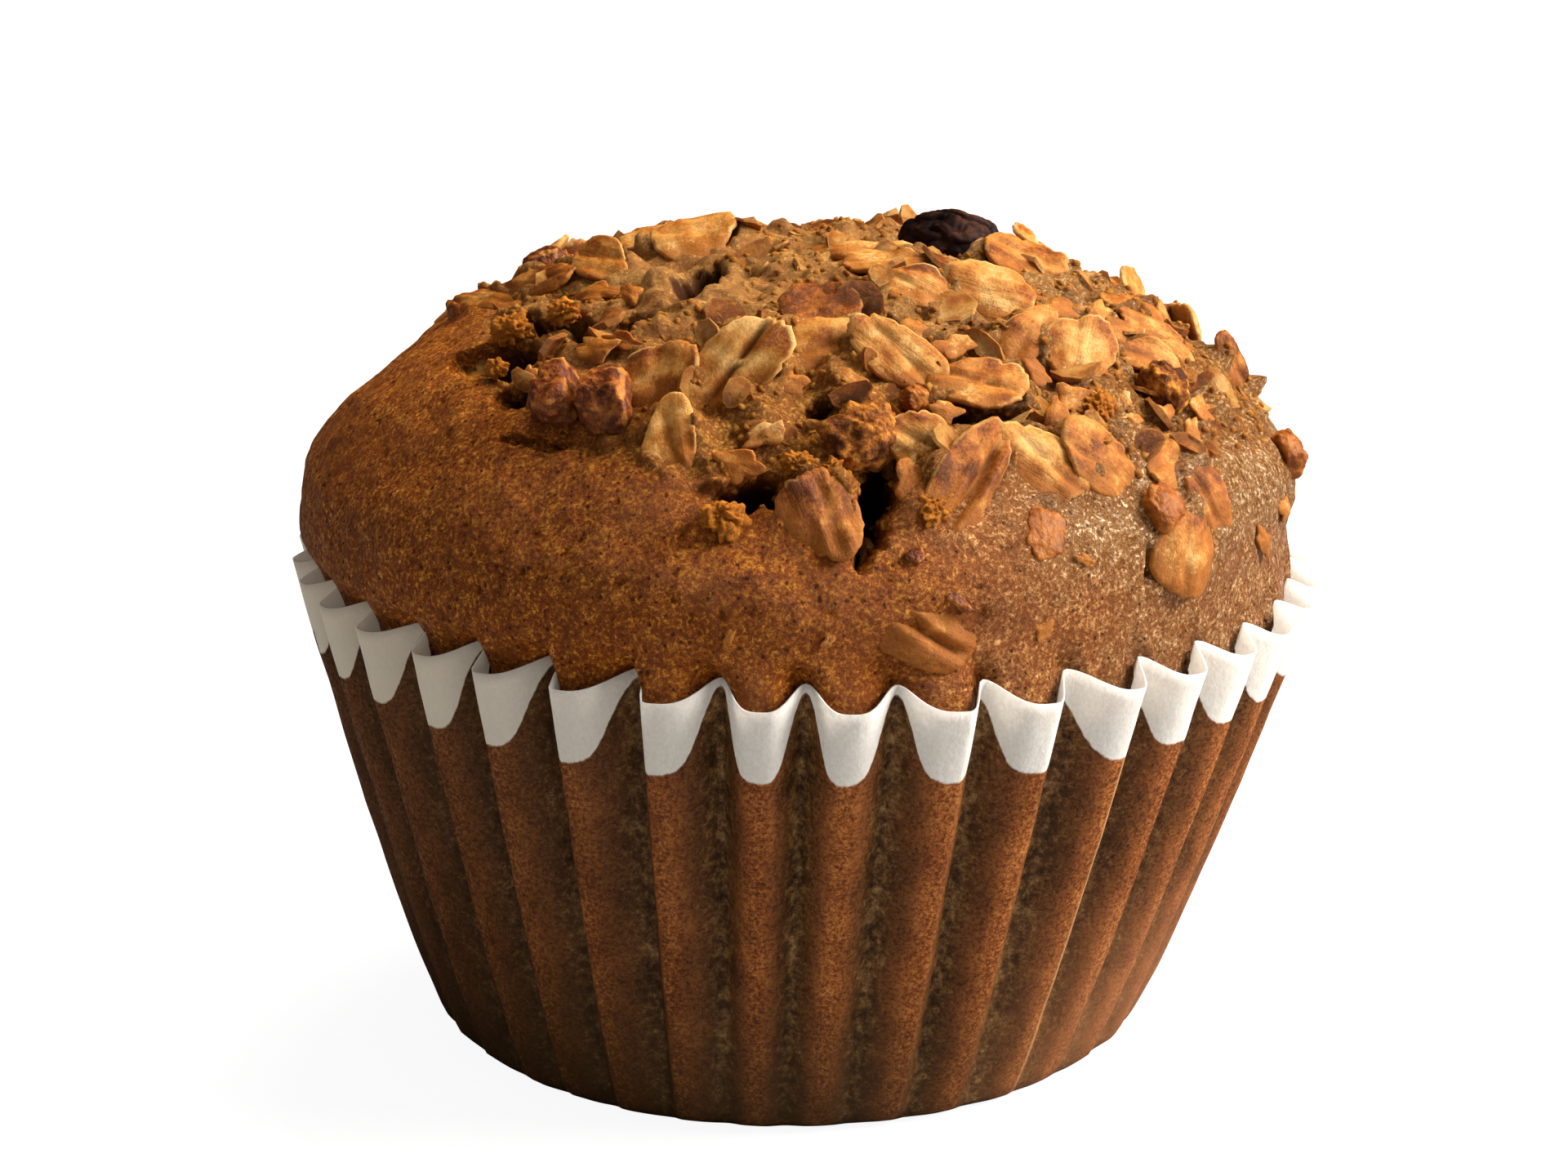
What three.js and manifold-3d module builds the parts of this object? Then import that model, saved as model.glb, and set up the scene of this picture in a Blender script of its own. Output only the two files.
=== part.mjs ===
// An oat-topped muffin standing in its fluted paper case. Millimetres, +Z up.
// The origin is the centre of the case's flat bottom. An azimuth is in degrees from the front (-Y)
// towards the right (+X), and a reach is the distance from the upright axis through the origin.

import * as THREE from "three";
import { mergeVertices } from "three/addons/utils/BufferGeometryUtils.js";
import Module from "manifold-3d";

const wasm = await Module();
wasm.setup();

// ---- The paper case: a pleated cup

const pleatCount = 38;
const paperThickness = 0.45; // radial, and of the floor
const floorRadius = 24.4; // flat bottom, before the wall turns up
const footHeight = 1.2; // where the rounded foot becomes the wall
const footRadius = 25.7;
const rimFlare = 11.4; // how much wider the rim is than the foot
const rimHeight = 35; // of the inner folds
const rimDrop = 1.4; // the outer folds end this much lower
const footPleatDepth = 0.25;
const rimPleatDepth = 2.3;
const pleatRows = [footHeight / rimHeight, 0.3, 0.63, 1]; // shares of the wall's height
// Corners of one pleat as phases of its wave: a broad outer fold and a narrow inner one.
const pleatCorners = [
  { phase: -58, outer: true },
  { phase: 58, outer: true },
  { phase: 162, outer: false },
  { phase: 198, outer: false },
];
const rimTilt = 0.028; // the rim is this much lower per mm to the right

// The cup leans a little to the right as it rises: [height, shift].
const caseLean = [
  [0, 0],
  [11, 0.4],
  [22, 0.95],
  [34.4, 1.3],
];

// ---- The cake

const cakeClearance = 0.65; // radial, to the paper
const cakeUnderside = 0.85; // height of the cake's flat bottom
const cakeFootHeight = 1.9;
const cakeRimRise = 0.4; // the cake keeps its ribs until this far above the paper's edge
const crownRadius = 36.3; // the widest ring of the risen top
const crownBase = 36.6; // its height
const crownRise = 20;
const crownBulge = { across: 1.9, up: 1.85 }; // powers of the superellipse that it follows
const crownDrift = [
  [33, 1.2],
  [37, 0.3],
  [49, 1.3],
  [56.6, 2.4],
];
const skirtHeight = 36.4; // the ring between the pleated side and the crown
const crownSpacing = 2.75; // mesh spacing over the crown
const skirtSides = 114; // of the ring at the skirt, three to a pleat
const footInset = 1.4; // the cake's flat bottom is this much smaller than the paper's

// Holes and cracks in the crust: azimuth, reach, half length, half width, turn, depth.
const hollows = [
  [-55, 23.5, 3.6, 2.2, 10, 2.6],
  [-44, 26, 2.2, 1.5, 0, 2.6],
  [-31, 12.5, 2.3, 1.5, 55, 2.6],
  [-51, 18.5, 2.6, 1.3, 0, 1.2],
  [-5, 31.5, 2.6, 1.5, 5, 2.2],
  [10, 31.5, 4.2, 1.5, 72, 3.2],
  [27, 27, 2.8, 1.3, -15, 1.8],
  [57, 30, 1.8, 1.3, 0, 1.6],
  [118, 27, 3.4, 1.6, 20, 2.2],
  [163, 22, 3.8, 1.7, -35, 2.4],
  [205, 29, 3.2, 1.5, 15, 2],
  [236, 18, 2.6, 1.6, 60, 2.2],
  [262, 27, 2.8, 1.4, -20, 1.8],
];

// Large rolled oats: azimuth, reach, length, width, then where the flake's face looks (azimuth and
// elevation), and how far its length is rolled up from level.
const largeOats = [
  [-8, 22.6, 8.2, 4.8, -10, 30, 50],
  [-93, 6.5, 6.6, 5, -10, 62, 20],
  [-115, 10, 6, 4.4, 0, 74, 8],
  [-82, 13, 4.6, 3.4, -20, 45, -10],
  [-94, 21.5, 6.6, 2.8, -60, 62, 12],
  [-88, 17.5, 6.8, 3.4, -60, 48, 30],
  [7, 16.9, 6, 4.8, 0, 48, 14],
  [5, 20.2, 6.2, 4.2, 5, 42, 22],
  [-20, 23.6, 5.4, 4.8, -20, 32, 84],
  [18, 22, 7.4, 3.9, 10, 36, -45],
  [52, 6.6, 7.2, 4, 0, 76, 0],
  [40, 10.2, 6.8, 3.8, 0, 68, 4],
  [35, 14.8, 5, 4, 10, 48, -30],
  [49, 17.8, 6.4, 5.4, 10, 44, -22],
  [84, 16.4, 6.8, 4.2, 30, 56, -36],
  [44, 22.3, 5.6, 3.4, 15, 42, 40],
  [50, 24.8, 6.2, 5, 25, 38, 60],
  [29, 25.2, 6.6, 4.4, 10, 56, -14],
  [86, 24.4, 7.6, 3.4, 75, 52, -26],
  [75, 25.4, 6, 2.6, 45, 40, -34],
  [64, 27, 5, 3.2, 40, 38, -30],
  [84, 30.8, 5.2, 2.8, 42, 12, -66],
  [49, 32.6, 5.2, 3.8, 45, 38, 14],
  [52, 34.4, 5.2, 4.2, 45, 22, -70],
  [46, 35.8, 6.4, 5.2, 42, 12, 70],
  [14, 36.2, 6.9, 5.2, 14, 14, -25],
  [-15, 28, 5.6, 3.6, -15, 34, -74],
  [3.5, 32.4, 6.6, 4.8, 0, 28, -68],
  [20.5, 31.4, 8.8, 5.2, 24, 28, 48],
  [16.5, 29, 5.2, 4.2, 10, 38, -44],
  [31, 31, 7.4, 4.8, 26, 34, -45],
  [38.5, 31.5, 6.2, 5, 42, 28, -46],
];
const oatThickness = 0.75;
const oatDome = 0.2; // how far an oat's middle stands above its rim
const oatSides = 10;
const oatBedding = 0.14; // an oat lying flat has its middle this far above the crust
const oatStanding = 0.58; // an oat on edge has its middle this share of its half span above it

// The back and the far side carry more, spread evenly between these azimuths.
const scatter = {
  seed: 7,
  count: 32,
  from: 106,
  to: 236,
  nearest: 4.9, // mm between neighbours
  innermost: 10,
  outermost: 34,
  length: [5, 8],
  lean: [-8, 38], // of a flake low on the crown; one near the middle lies flat
  flatWithin: 14,
};

// Nut pieces, clumps and fruit set in the crust: azimuth, reach, length, width, height, turn.
const chunks = [
  [-36, 24.5, 4.6, 4.4, 4, 20],
  [-28, 24.2, 4.2, 4.6, 3.8, -10],
  [10, 28.2, 5, 4, 3, 35],
  [58, 28.8, 4.6, 3.6, 3, -40],
  [79, 35, 3.6, 3.8, 2.6, 0],
  [-7, 32.6, 2.8, 2.4, 2.2, 0],
  [44, 34.2, 4, 3.6, 2.2, 60],
  [140, 24, 4.8, 4, 3.2, 15],
  [185, 30, 4.2, 3.6, 2.8, 60],
  [225, 24.5, 4.6, 4, 3.2, 0],
  [275, 20, 4, 3.6, 2.8, 30],
];
const chunkProud = 0.15; // share of a chunk's height that its middle stands above the crust
const chunkRoughness = 0.16;

// ---- The raisin that lies on the crown

const raisin = {
  azimuth: 97,
  reach: 11.8,
  height: 55.9,
  length: 7.8,
  width: 6.2,
  depth: 4.4,
  droop: 7, // degrees, its right end lower
  turn: -8,
  roughness: 0.09,
};
const raisinClearance = 0.35;

// ---- Helpers

const radians = THREE.MathUtils.degToRad;
const blend = THREE.MathUtils.lerp;

// Reads a list of [position, value] stops, straight between them and level past its ends.
function readStops(stops, position) {
  const next = stops.findIndex(([at]) => at > position);
  if (next === 0) return stops[0][1];
  if (next < 0) return stops[stops.length - 1][1];
  const [from, start] = stops[next - 1];
  const [to, end] = stops[next];
  return blend(start, end, (position - from) / (to - from));
}

function seededRandom(seed) {
  let state = seed;
  return () => {
    state = (state + 0x6d2b79f5) | 0;
    let t = Math.imul(state ^ (state >>> 15), 1 | state);
    t = (t + Math.imul(t ^ (t >>> 7), 61 | t)) ^ t;
    return ((t ^ (t >>> 14)) >>> 0) / 4294967296;
  };
}

function polar(azimuth, radius, height) {
  const a = radians(azimuth);
  return new THREE.Vector3(radius * Math.sin(a), -radius * Math.cos(a), height);
}

// A closed skin built from rings of points, each ring running once round by growing azimuth.
class Skin {
  positions = [];
  triangles = [];

  point(p) {
    this.positions.push(p.x, p.y, p.z);
    return this.positions.length / 3 - 1;
  }

  ring(azimuths, place) {
    return azimuths.map((azimuth, i) => ({ azimuth, id: this.point(place(azimuth, i)) }));
  }

  // Joins two rings, which may have different counts. The first is the lower one on an outer face.
  band(lower, upper) {
    const at = (ring, i) => ring[i % ring.length].azimuth + (i >= ring.length ? 360 : 0);
    const id = (ring, i) => ring[i % ring.length].id;
    let i = 0;
    let j = 0;
    while (i < lower.length || j < upper.length) {
      const stepLower =
        j >= upper.length || (i < lower.length && at(lower, i + 1) <= at(upper, j + 1));
      if (stepLower) {
        this.triangles.push(id(lower, i), id(lower, i + 1), id(upper, j));
        i += 1;
      } else {
        this.triangles.push(id(lower, i), id(upper, j + 1), id(upper, j));
        j += 1;
      }
    }
  }

  // Closes a ring with a fan to a centre point, seen from above or from below.
  lid(ring, centre, facesUp) {
    const middle = this.point(centre);
    ring.forEach(({ id }, i) => {
      const next = ring[(i + 1) % ring.length].id;
      this.triangles.push(...(facesUp ? [id, next, middle] : [next, id, middle]));
    });
  }

  geometry() {
    return new THREE.BufferGeometry()
      .setAttribute("position", new THREE.Float32BufferAttribute(this.positions, 3))
      .setIndex(this.triangles);
  }
}

function toSolid(geometry) {
  const bare = geometry.clone();
  bare.deleteAttribute("normal");
  bare.deleteAttribute("uv");
  const merged = mergeVertices(bare, 1e-4);
  return new wasm.Manifold(
    new wasm.Mesh({
      numProp: 3,
      vertProperties: merged.attributes.position.array,
      triVerts: new Uint32Array(merged.index.array),
    }),
  );
}

function toGeometry(solid) {
  const { vertProperties, triVerts } = solid.getMesh();
  return new THREE.BufferGeometry()
    .setAttribute("position", new THREE.BufferAttribute(vertProperties, 3))
    .setIndex(new THREE.BufferAttribute(triVerts, 1));
}

// ---- Pleats, shared by the paper and by the cake moulded in it

const pitch = 360 / pleatCount;
const firstFold = -0.57 * pitch; // azimuth of the outer fold nearest the front

// Hand-folded paper is uneven: each pleat is a little off its place, and a little shallow or deep.
const pleatShift = (i) => pitch * (0.05 * Math.sin(1.7 * i + 0.5) + 0.04 * Math.sin(3.1 * i + 2));
const pleatShare = (i) => 1 + 0.1 * Math.sin(2.3 * i + 1) + 0.08 * Math.sin(5.1 * i);

const pleatColumns = Array.from({ length: pleatCount }, (_, i) =>
  pleatCorners.map(({ phase, outer }) => ({
    azimuth: firstFold + pleatShift(i) + (i + phase / 360) * pitch,
    outer,
    share: pleatShare(i),
  })),
).flat();
const pleatAzimuths = pleatColumns.map(({ azimuth }) => azimuth);

const growth = (height) => Math.max(height, 0) / rimHeight;
const foldRadius = (height) => footRadius + rimFlare * growth(height) ** 0.85;
const pleatDepth = (height) =>
  blend(footPleatDepth, rimPleatDepth, growth(height) ** 0.7);

function settle(point) {
  const tilt = (rimTilt * point.x * point.z) / rimHeight;
  return point.setZ(point.z - tilt).setX(point.x + readStops(caseLean, point.z));
}

// A point of the pleated wall, moved inwards by inset.
function wallPoint(column, height, inset) {
  const depth = column.outer ? 0 : pleatDepth(height) * column.share;
  return settle(polar(column.azimuth, foldRadius(height) - depth - inset, height));
}

const rowHeight = (column, share) => share * (rimHeight - (column.outer ? rimDrop : 0));

function makePaperCase() {
  const skin = new Skin();
  const wallRow = (share, inset) =>
    skin.ring(pleatAzimuths, (_, i) =>
      wallPoint(pleatColumns[i], rowHeight(pleatColumns[i], share), inset),
    );
  const floorRing = (radius, height) =>
    skin.ring(pleatAzimuths, (azimuth) => polar(azimuth, radius, height));
  const rings = [
    floorRing(floorRadius, 0),
    ...pleatRows.map((share) => wallRow(share, 0)),
    ...[...pleatRows].reverse().map((share) => wallRow(share, paperThickness)),
    floorRing(floorRadius - paperThickness, paperThickness),
  ];
  for (let i = 1; i < rings.length; i++) skin.band(rings[i - 1], rings[i]);
  skin.lid(rings[0], new THREE.Vector3(0, 0, 0), false);
  skin.lid(rings[rings.length - 1], new THREE.Vector3(0, 0, paperThickness), true);
  return skin.geometry();
}

// ---- The crown's smooth form, and what is laid on it

const quarter = Math.PI / 2;

// swing is 0 at the widest ring and a quarter turn at the top.
function crownProfile(swing) {
  return {
    radius: crownRadius * Math.cos(swing) ** (2 / crownBulge.across),
    height: crownBase + crownRise * Math.sin(swing) ** (2 / crownBulge.up),
  };
}

function crownHeight(x, y) {
  let height = crownBase;
  for (let pass = 0; pass < 12; pass++) {
    const radius = Math.hypot(x - readStops(crownDrift, height), y);
    const share = Math.min(radius / crownRadius, 1) ** crownBulge.across;
    height = crownBase + crownRise * (1 - share) ** (1 / crownBulge.up);
  }
  return height;
}

// Where a thing at that azimuth and reach sits, and the directions out, around and uphill there.
function crownSeat(azimuth, reach) {
  const lowest = polar(azimuth, reach, 0);
  const at = new THREE.Vector3(lowest.x, lowest.y, crownHeight(lowest.x, lowest.y));
  const step = 0.4;
  const inner = polar(azimuth, reach - step, 0);
  const rise = (crownHeight(inner.x, inner.y) - at.z) / step;
  const around = polar(azimuth + 90, 1, 0);
  const uphill = polar(azimuth, -1, Math.min(rise, 6)).normalize();
  return { at, around, uphill, out: around.clone().cross(uphill) };
}

const smooth = (x) => THREE.MathUtils.smoothstep(x, 0, 1);

const hollowSeats = hollows.map(([azimuth, reach, length, width, turn, depth]) => ({
  ...crownSeat(azimuth, reach),
  length,
  width,
  turn: radians(turn),
  depth,
}));

function hollowDepth(point) {
  return hollowSeats.reduce((deepest, { at, around, uphill, length, width, turn, depth }) => {
    const offset = point.clone().sub(at);
    const u = offset.dot(around);
    const v = offset.dot(uphill);
    const along = (u * Math.cos(turn) + v * Math.sin(turn)) / length;
    const across = (v * Math.cos(turn) - u * Math.sin(turn)) / width;
    return Math.max(deepest, depth * (1 - smooth(Math.hypot(along, across) * 0.72)));
  }, 0);
}

// The crust is even at the front left and craggy over the top, the right and the back.
function cragginess(point) {
  const azimuth = THREE.MathUtils.radToDeg(Math.atan2(point.x, -point.y));
  const reach = Math.hypot(point.x, point.y);
  const evenFront = smooth(1 - Math.abs(azimuth + 35) / 60);
  return 1 - smooth((reach - blend(31, 20, evenFront)) / 7) * 0.8;
}

function swell(p) {
  const wide = Math.sin(0.31 * p.x + 0.9) * Math.sin(0.27 * p.y + 2.2 + 0.1 * p.z);
  const middle = Math.sin(0.83 * p.x + 0.35 * p.y + 0.4) * Math.sin(0.71 * p.y - 0.5 * p.z);
  const fine = Math.sin(1.5 * p.x - 0.9 * p.z + 1.1) * Math.sin(1.37 * p.y + 0.6 * p.x);
  return 0.35 * wide + cragginess(p) * (0.45 * middle + 0.22 * fine);
}

function crownPoint(azimuth, swing) {
  const { radius, height } = crownProfile(swing);
  const shift = readStops(crownDrift, height);
  const point = polar(azimuth, radius, height);
  point.x += shift;
  const out = polar(azimuth, Math.cos(swing), Math.sin(swing));
  const fade = smooth((height - crownBase) / 3);
  return point.addScaledVector(out, fade * (swell(point) - hollowDepth(point)));
}

const evenAzimuths = (count) =>
  Array.from({ length: count }, (_, i) => pleatAzimuths[0] + (i * 360) / count);

function makeCrustAndCrumb() {
  const skin = new Skin();
  const inset = paperThickness + cakeClearance;
  const sideRow = (heightOf) =>
    skin.ring(pleatAzimuths, (_, i) => {
      const column = pleatColumns[i];
      return wallPoint(column, heightOf(column), inset);
    });
  const rings = [
    skin.ring(pleatAzimuths, (azimuth) => polar(azimuth, floorRadius - footInset, cakeUnderside)),
    sideRow(() => cakeFootHeight),
    ...pleatRows.slice(1, -1).map((share) => sideRow((column) => rowHeight(column, share))),
    sideRow((column) => rowHeight(column, 1) + cakeRimRise),
    skin.ring(evenAzimuths(skirtSides), (azimuth) => {
      const point = settle(polar(azimuth, crownRadius, skirtHeight));
      point.x += readStops(crownDrift, 36) - readStops(caseLean, skirtHeight);
      return point;
    }),
  ];
  const crownLength = crownRadius + crownRise * 0.5;
  const steps = Math.round(crownLength / crownSpacing);
  for (let step = 1; step < steps; step++) {
    const swing = quarter * (step / steps) ** 1.12;
    const around = (2 * Math.PI * crownProfile(swing).radius) / crownSpacing;
    const azimuths = evenAzimuths(Math.max(6, Math.round(around)));
    rings.push(skin.ring(azimuths, (azimuth) => crownPoint(azimuth, swing)));
  }
  for (let i = 1; i < rings.length; i++) skin.band(rings[i - 1], rings[i]);
  skin.lid(rings[0], new THREE.Vector3(0, 0, cakeUnderside), false);
  skin.lid(rings[rings.length - 1], crownPoint(0, quarter), true);
  return skin.geometry();
}

// ---- Oats, chunks and the raisin

// One rolled oat lying in its own XY plane: an uneven oval with a slightly raised middle.
function oatGeometry(length, width, character) {
  const skin = new Skin();
  const azimuths = Array.from({ length: oatSides }, (_, i) => (i * 360) / oatSides);
  const outline = (azimuth, height) => {
    const a = radians(azimuth);
    const uneven = 1 + 0.1 * Math.sin(2 * a + character) + 0.08 * Math.sin(3 * a - 2 * character);
    const x = (length / 2) * uneven * Math.sin(a);
    const cup = 0.12 * (x / length) * Math.sin(character);
    return new THREE.Vector3(x, (-width / 2) * uneven * Math.cos(a), height + cup);
  };
  const bottom = skin.ring(azimuths, (azimuth) => outline(azimuth, -oatThickness / 2));
  const top = skin.ring(azimuths, (azimuth) => outline(azimuth, oatThickness / 2));
  skin.band(bottom, top);
  skin.lid(bottom, new THREE.Vector3(0, 0, -oatThickness / 2), false);
  skin.lid(top, new THREE.Vector3(0, 0, oatThickness / 2 + oatDome), true);
  return skin.geometry();
}

// Stands an oat on the crown with its face turned as told and its lower edge sunk in the crust.
function placedOat([azimuth, reach, length, width, faceAzimuth, faceElevation, roll], index) {
  const seat = crownSeat(azimuth, reach);
  const elevation = radians(faceElevation);
  const face = polar(faceAzimuth, Math.cos(elevation), Math.sin(elevation));
  const level = polar(faceAzimuth + 90, 1, 0);
  const turned = level.clone().applyAxisAngle(face, radians(roll));
  const lean = Math.acos(THREE.MathUtils.clamp(face.dot(seat.out), -1, 1));
  const uphillEdge = seat.out.clone().addScaledVector(face, -face.dot(seat.out));
  const reachUp = uphillEdge.lengthSq() > 1e-6 ? uphillEdge.normalize() : turned;
  const halfSpan = Math.hypot(
    (length / 2) * reachUp.dot(turned),
    (width / 2) * reachUp.dot(face.clone().cross(turned)),
  );
  const lift = oatBedding + oatStanding * halfSpan * Math.sin(lean);
  const centre = seat.at.addScaledVector(seat.out, lift);
  const stance = new THREE.Matrix4()
    .makeBasis(turned, face.clone().cross(turned), face)
    .setPosition(centre);
  return oatGeometry(length, width, index * 2.4).applyMatrix4(stance);
}

// Oats for the back by the rule in scatter: a candidate too near another is passed over.
function scatteredOats() {
  const random = seededRandom(scatter.seed);
  const between = (from, to) => blend(from, to, random());
  const taken = largeOats.map(([azimuth, reach]) => crownSeat(azimuth, reach).at);
  const oats = [];
  for (let tries = 0; oats.length < scatter.count && tries < 3000; tries++) {
    const azimuth = between(scatter.from, scatter.to);
    const reach = blend(scatter.innermost, scatter.outermost, Math.sqrt(random()));
    const seat = crownSeat(azimuth, reach);
    const length = between(...scatter.length);
    if (taken.some((at) => at.distanceTo(seat.at) < scatter.nearest)) continue;
    taken.push(seat.at.clone());
    const slope = THREE.MathUtils.radToDeg(Math.asin(seat.out.z));
    const lean = between(...scatter.lean) * smooth((reach - scatter.flatWithin) / 12);
    const faceElevation = Math.max(slope - lean, 8);
    const faceAzimuth = azimuth + between(-40, 40);
    oats.push([
      azimuth, reach, length, length * between(0.55, 0.78), faceAzimuth, faceElevation,
      between(-80, 80),
    ]);
  }
  return oats;
}

// A rounded lump with a pitted surface, its radii given, for chunks and for the raisin.
function lumpGeometry(radii, detail, roughness, character) {
  const ball = mergeVertices(bareBall(detail), 1e-4);
  const position = ball.attributes.position;
  const p = new THREE.Vector3();
  for (let i = 0; i < position.count; i++) {
    p.fromBufferAttribute(position, i).normalize();
    const bump = Math.sin(4.1 * p.x + character) * Math.sin(5.3 * p.y - character + 2 * p.z);
    p.multiply(radii).multiplyScalar(1 + roughness * bump);
    position.setXYZ(i, p.x, p.y, p.z);
  }
  return ball;
}

function bareBall(detail) {
  const ball = new THREE.IcosahedronGeometry(1, detail);
  ball.deleteAttribute("normal");
  ball.deleteAttribute("uv");
  return ball;
}

function placedChunk([azimuth, reach, length, width, height, turn], index) {
  const seat = crownSeat(azimuth, reach);
  const along = seat.around.clone().applyAxisAngle(seat.out, radians(turn));
  const stance = new THREE.Matrix4()
    .makeBasis(along, seat.out.clone().cross(along), seat.out)
    .setPosition(seat.at.addScaledVector(seat.out, chunkProud * height));
  const radii = new THREE.Vector3(length, width, height).multiplyScalar(0.5);
  return lumpGeometry(radii, 1, chunkRoughness, index).applyMatrix4(stance);
}

function raisinGeometry(swelling) {
  const radii = new THREE.Vector3(raisin.length, raisin.width, raisin.depth)
    .multiplyScalar(0.5)
    .addScalar(swelling);
  return lumpGeometry(radii, 2, raisin.roughness, 1.3)
    .rotateY(radians(raisin.droop))
    .rotateZ(radians(raisin.turn))
    .translate(...polar(raisin.azimuth, raisin.reach, raisin.height));
}

function makeMuffin() {
  const oats = [...largeOats, ...scatteredOats()].map(placedOat);
  const lumps = chunks.map(placedChunk);
  const fused = [...oats, ...lumps].reduce(
    (solid, geometry) => solid.add(toSolid(geometry)),
    toSolid(makeCrustAndCrumb()),
  );
  const pieces = fused.subtract(toSolid(raisinGeometry(raisinClearance))).decompose();
  const whole = pieces.reduce((a, b) => (a.volume() > b.volume() ? a : b));
  return toGeometry(whole);
}

// ---- The object

function namedMesh(name, geometry, color, roughness) {
  const material = new THREE.MeshStandardMaterial({ color, roughness, metalness: 0 });
  const mesh = new THREE.Mesh(geometry, material);
  mesh.name = name;
  return mesh;
}

const muffinInCase = new THREE.Group();
muffinInCase.add(
  namedMesh("paper_case", makePaperCase(), 0x7a4a2c, 0.75),
  namedMesh("muffin", makeMuffin(), 0x9a5f2c, 0.85),
  namedMesh("raisin", raisinGeometry(0), 0x1c100c, 0.45),
);

export default muffinInCase;
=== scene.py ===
"""An oat and raisin muffin in its fluted paper case.

Shapes are worked out in millimetres, +Z up, and written to the meshes in metres. The origin is the
centre of the case's flat bottom. An azimuth is in degrees from the front (-Y) towards the right (+X),
and a reach is the distance from the upright axis through the origin.
"""
import math

import bpy
import numpy as np
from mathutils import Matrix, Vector


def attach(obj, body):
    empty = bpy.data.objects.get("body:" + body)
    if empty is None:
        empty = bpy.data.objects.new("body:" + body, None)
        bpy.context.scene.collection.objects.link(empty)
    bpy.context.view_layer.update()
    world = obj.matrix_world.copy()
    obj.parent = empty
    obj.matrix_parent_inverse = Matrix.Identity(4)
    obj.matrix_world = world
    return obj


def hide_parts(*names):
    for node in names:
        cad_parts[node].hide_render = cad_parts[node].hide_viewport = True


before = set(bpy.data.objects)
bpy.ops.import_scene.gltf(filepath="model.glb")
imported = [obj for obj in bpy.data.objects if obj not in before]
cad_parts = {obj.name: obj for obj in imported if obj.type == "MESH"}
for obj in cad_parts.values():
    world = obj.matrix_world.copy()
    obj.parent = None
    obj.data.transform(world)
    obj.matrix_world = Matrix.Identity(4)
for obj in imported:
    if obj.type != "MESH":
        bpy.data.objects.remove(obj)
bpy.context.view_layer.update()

MM = 0.001

# ---- Sizes of the paper case

PLEATS = 38
PITCH = 360 / PLEATS
FIRST_FOLD = -0.57 * PITCH  # azimuth of the outer fold nearest the front
PAPER_THICKNESS = 0.1
TONGUE_DEPTH = 5.6  # clean white paper below the rim, on the outer folds
WALL_SLOPE = 36.4  # length of the wall from rim to foot
WELD = 0.002  # the paper's seam and the middle of its floor are joined at this distance
FLOOR_ROWS = 0.14  # share of the paper's rows that make the floor
CUP_SIZES = {
    "Columns": 24 * PLEATS, "Rows": 52, "Floor radius": 24.4, "Foot height": 1.2,
    "Foot radius": 25.7, "Rim flare": 11.4, "Rim height": 35.0, "Rim drop": 1.4,
    "Foot pleat depth": 0.12, "Rim pleat depth": 2.3,
    "Skew right": 0.26, "Skew left": 0.15,  # outer folds are pressed over by this much of the pitch
    "Left under": 0.2,  # and on the left the inner folds lie this much of it behind them
    "Left deeper": 0.35,  # the pleats there are deeper towards the rim by this share
    "Face power": 1.65,  # above 1 the outer faces are wider than the inner folds
    "Rim tilt": 0.028, "Lean": 0.038,  # downwards and to the right, per mm
    "Crumple": 0.22, "Crumple size": 4.5,
}

# ---- Sizes of the cake

CAKE_INSET = 0.42  # between the faces of the paper and the cake inside it
CAKE_FLOOR_RADIUS = 23.2
CAKE_FLOOR_HEIGHT = 0.7
CROWN_RADIUS = 36.3
CROWN_BASE = 36.6
CROWN_RISE = 20.0
CROWN_ACROSS, CROWN_UP = 1.9, 1.85  # powers of the superellipse that the crown follows
CROWN_DRIFT = ((33, 37, 49, 56.6), (1.2, 0.3, 1.3, 2.4))  # heights, and shift to the right there
RIM_TUCK = 1.15  # the crust is drawn in this much just above the rim
CRUST_SPACING = 0.31  # mesh spacing over the crown

# Holes and cracks in the crust: azimuth, reach, half length, half width, turn, depth.
HOLLOWS = [
    (-58, 23.0, 4.6, 2.4, 18, 4.4),
    (-43.5, 25.9, 1.9, 1.2, 0, 6.0),
    (-67, 19.2, 3.2, 1.6, 12, 2.8),
    (-50, 18.6, 2.8, 1.0, -20, 2.0),
    (-34, 28.8, 2.7, 0.5, 4, 1.0),
    (-36, 10.6, 4.2, 1.7, 113, 7.0),
    (-38, 17.2, 1.8, 0.9, 40, 2.8),
    (5, 25.0, 1.5, 0.8, 25, 2.4),
    (-4, 31.0, 2.5, 1.2, 6, 3.8),
    (10, 31.6, 4.3, 1.25, 72, 8),
    (27, 26.8, 3.2, 1.3, -15, 3.2),
    (19, 17.5, 2.2, 1.0, 10, 2.4),
    (57, 21.5, 2.2, 1.0, 30, 2.4),
    (41, 35.7, 1.5, 0.36, 80, 0.9),
    (57, 30, 1.8, 1.3, 0, 2.2),
    (118, 27, 3.4, 1.4, 20, 3.0),
    (163, 22, 3.8, 1.5, -35, 3.4),
    (205, 29, 3.2, 1.3, 15, 3.0),
    (236, 18, 2.6, 1.4, 60, 3.2),
    (262, 27, 2.8, 1.2, -20, 2.6),
]

# Reach inside which the crust is torn and craggy, by azimuth.
CRAG_EDGE = (
    (-180, -120, -90, -60, -35, -10, 15, 45, 75, 110, 150, 180),
    (30, 26, 22, 24.5, 27.5, 31.5, 31.5, 33, 34.5, 33, 31, 30),
)

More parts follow.
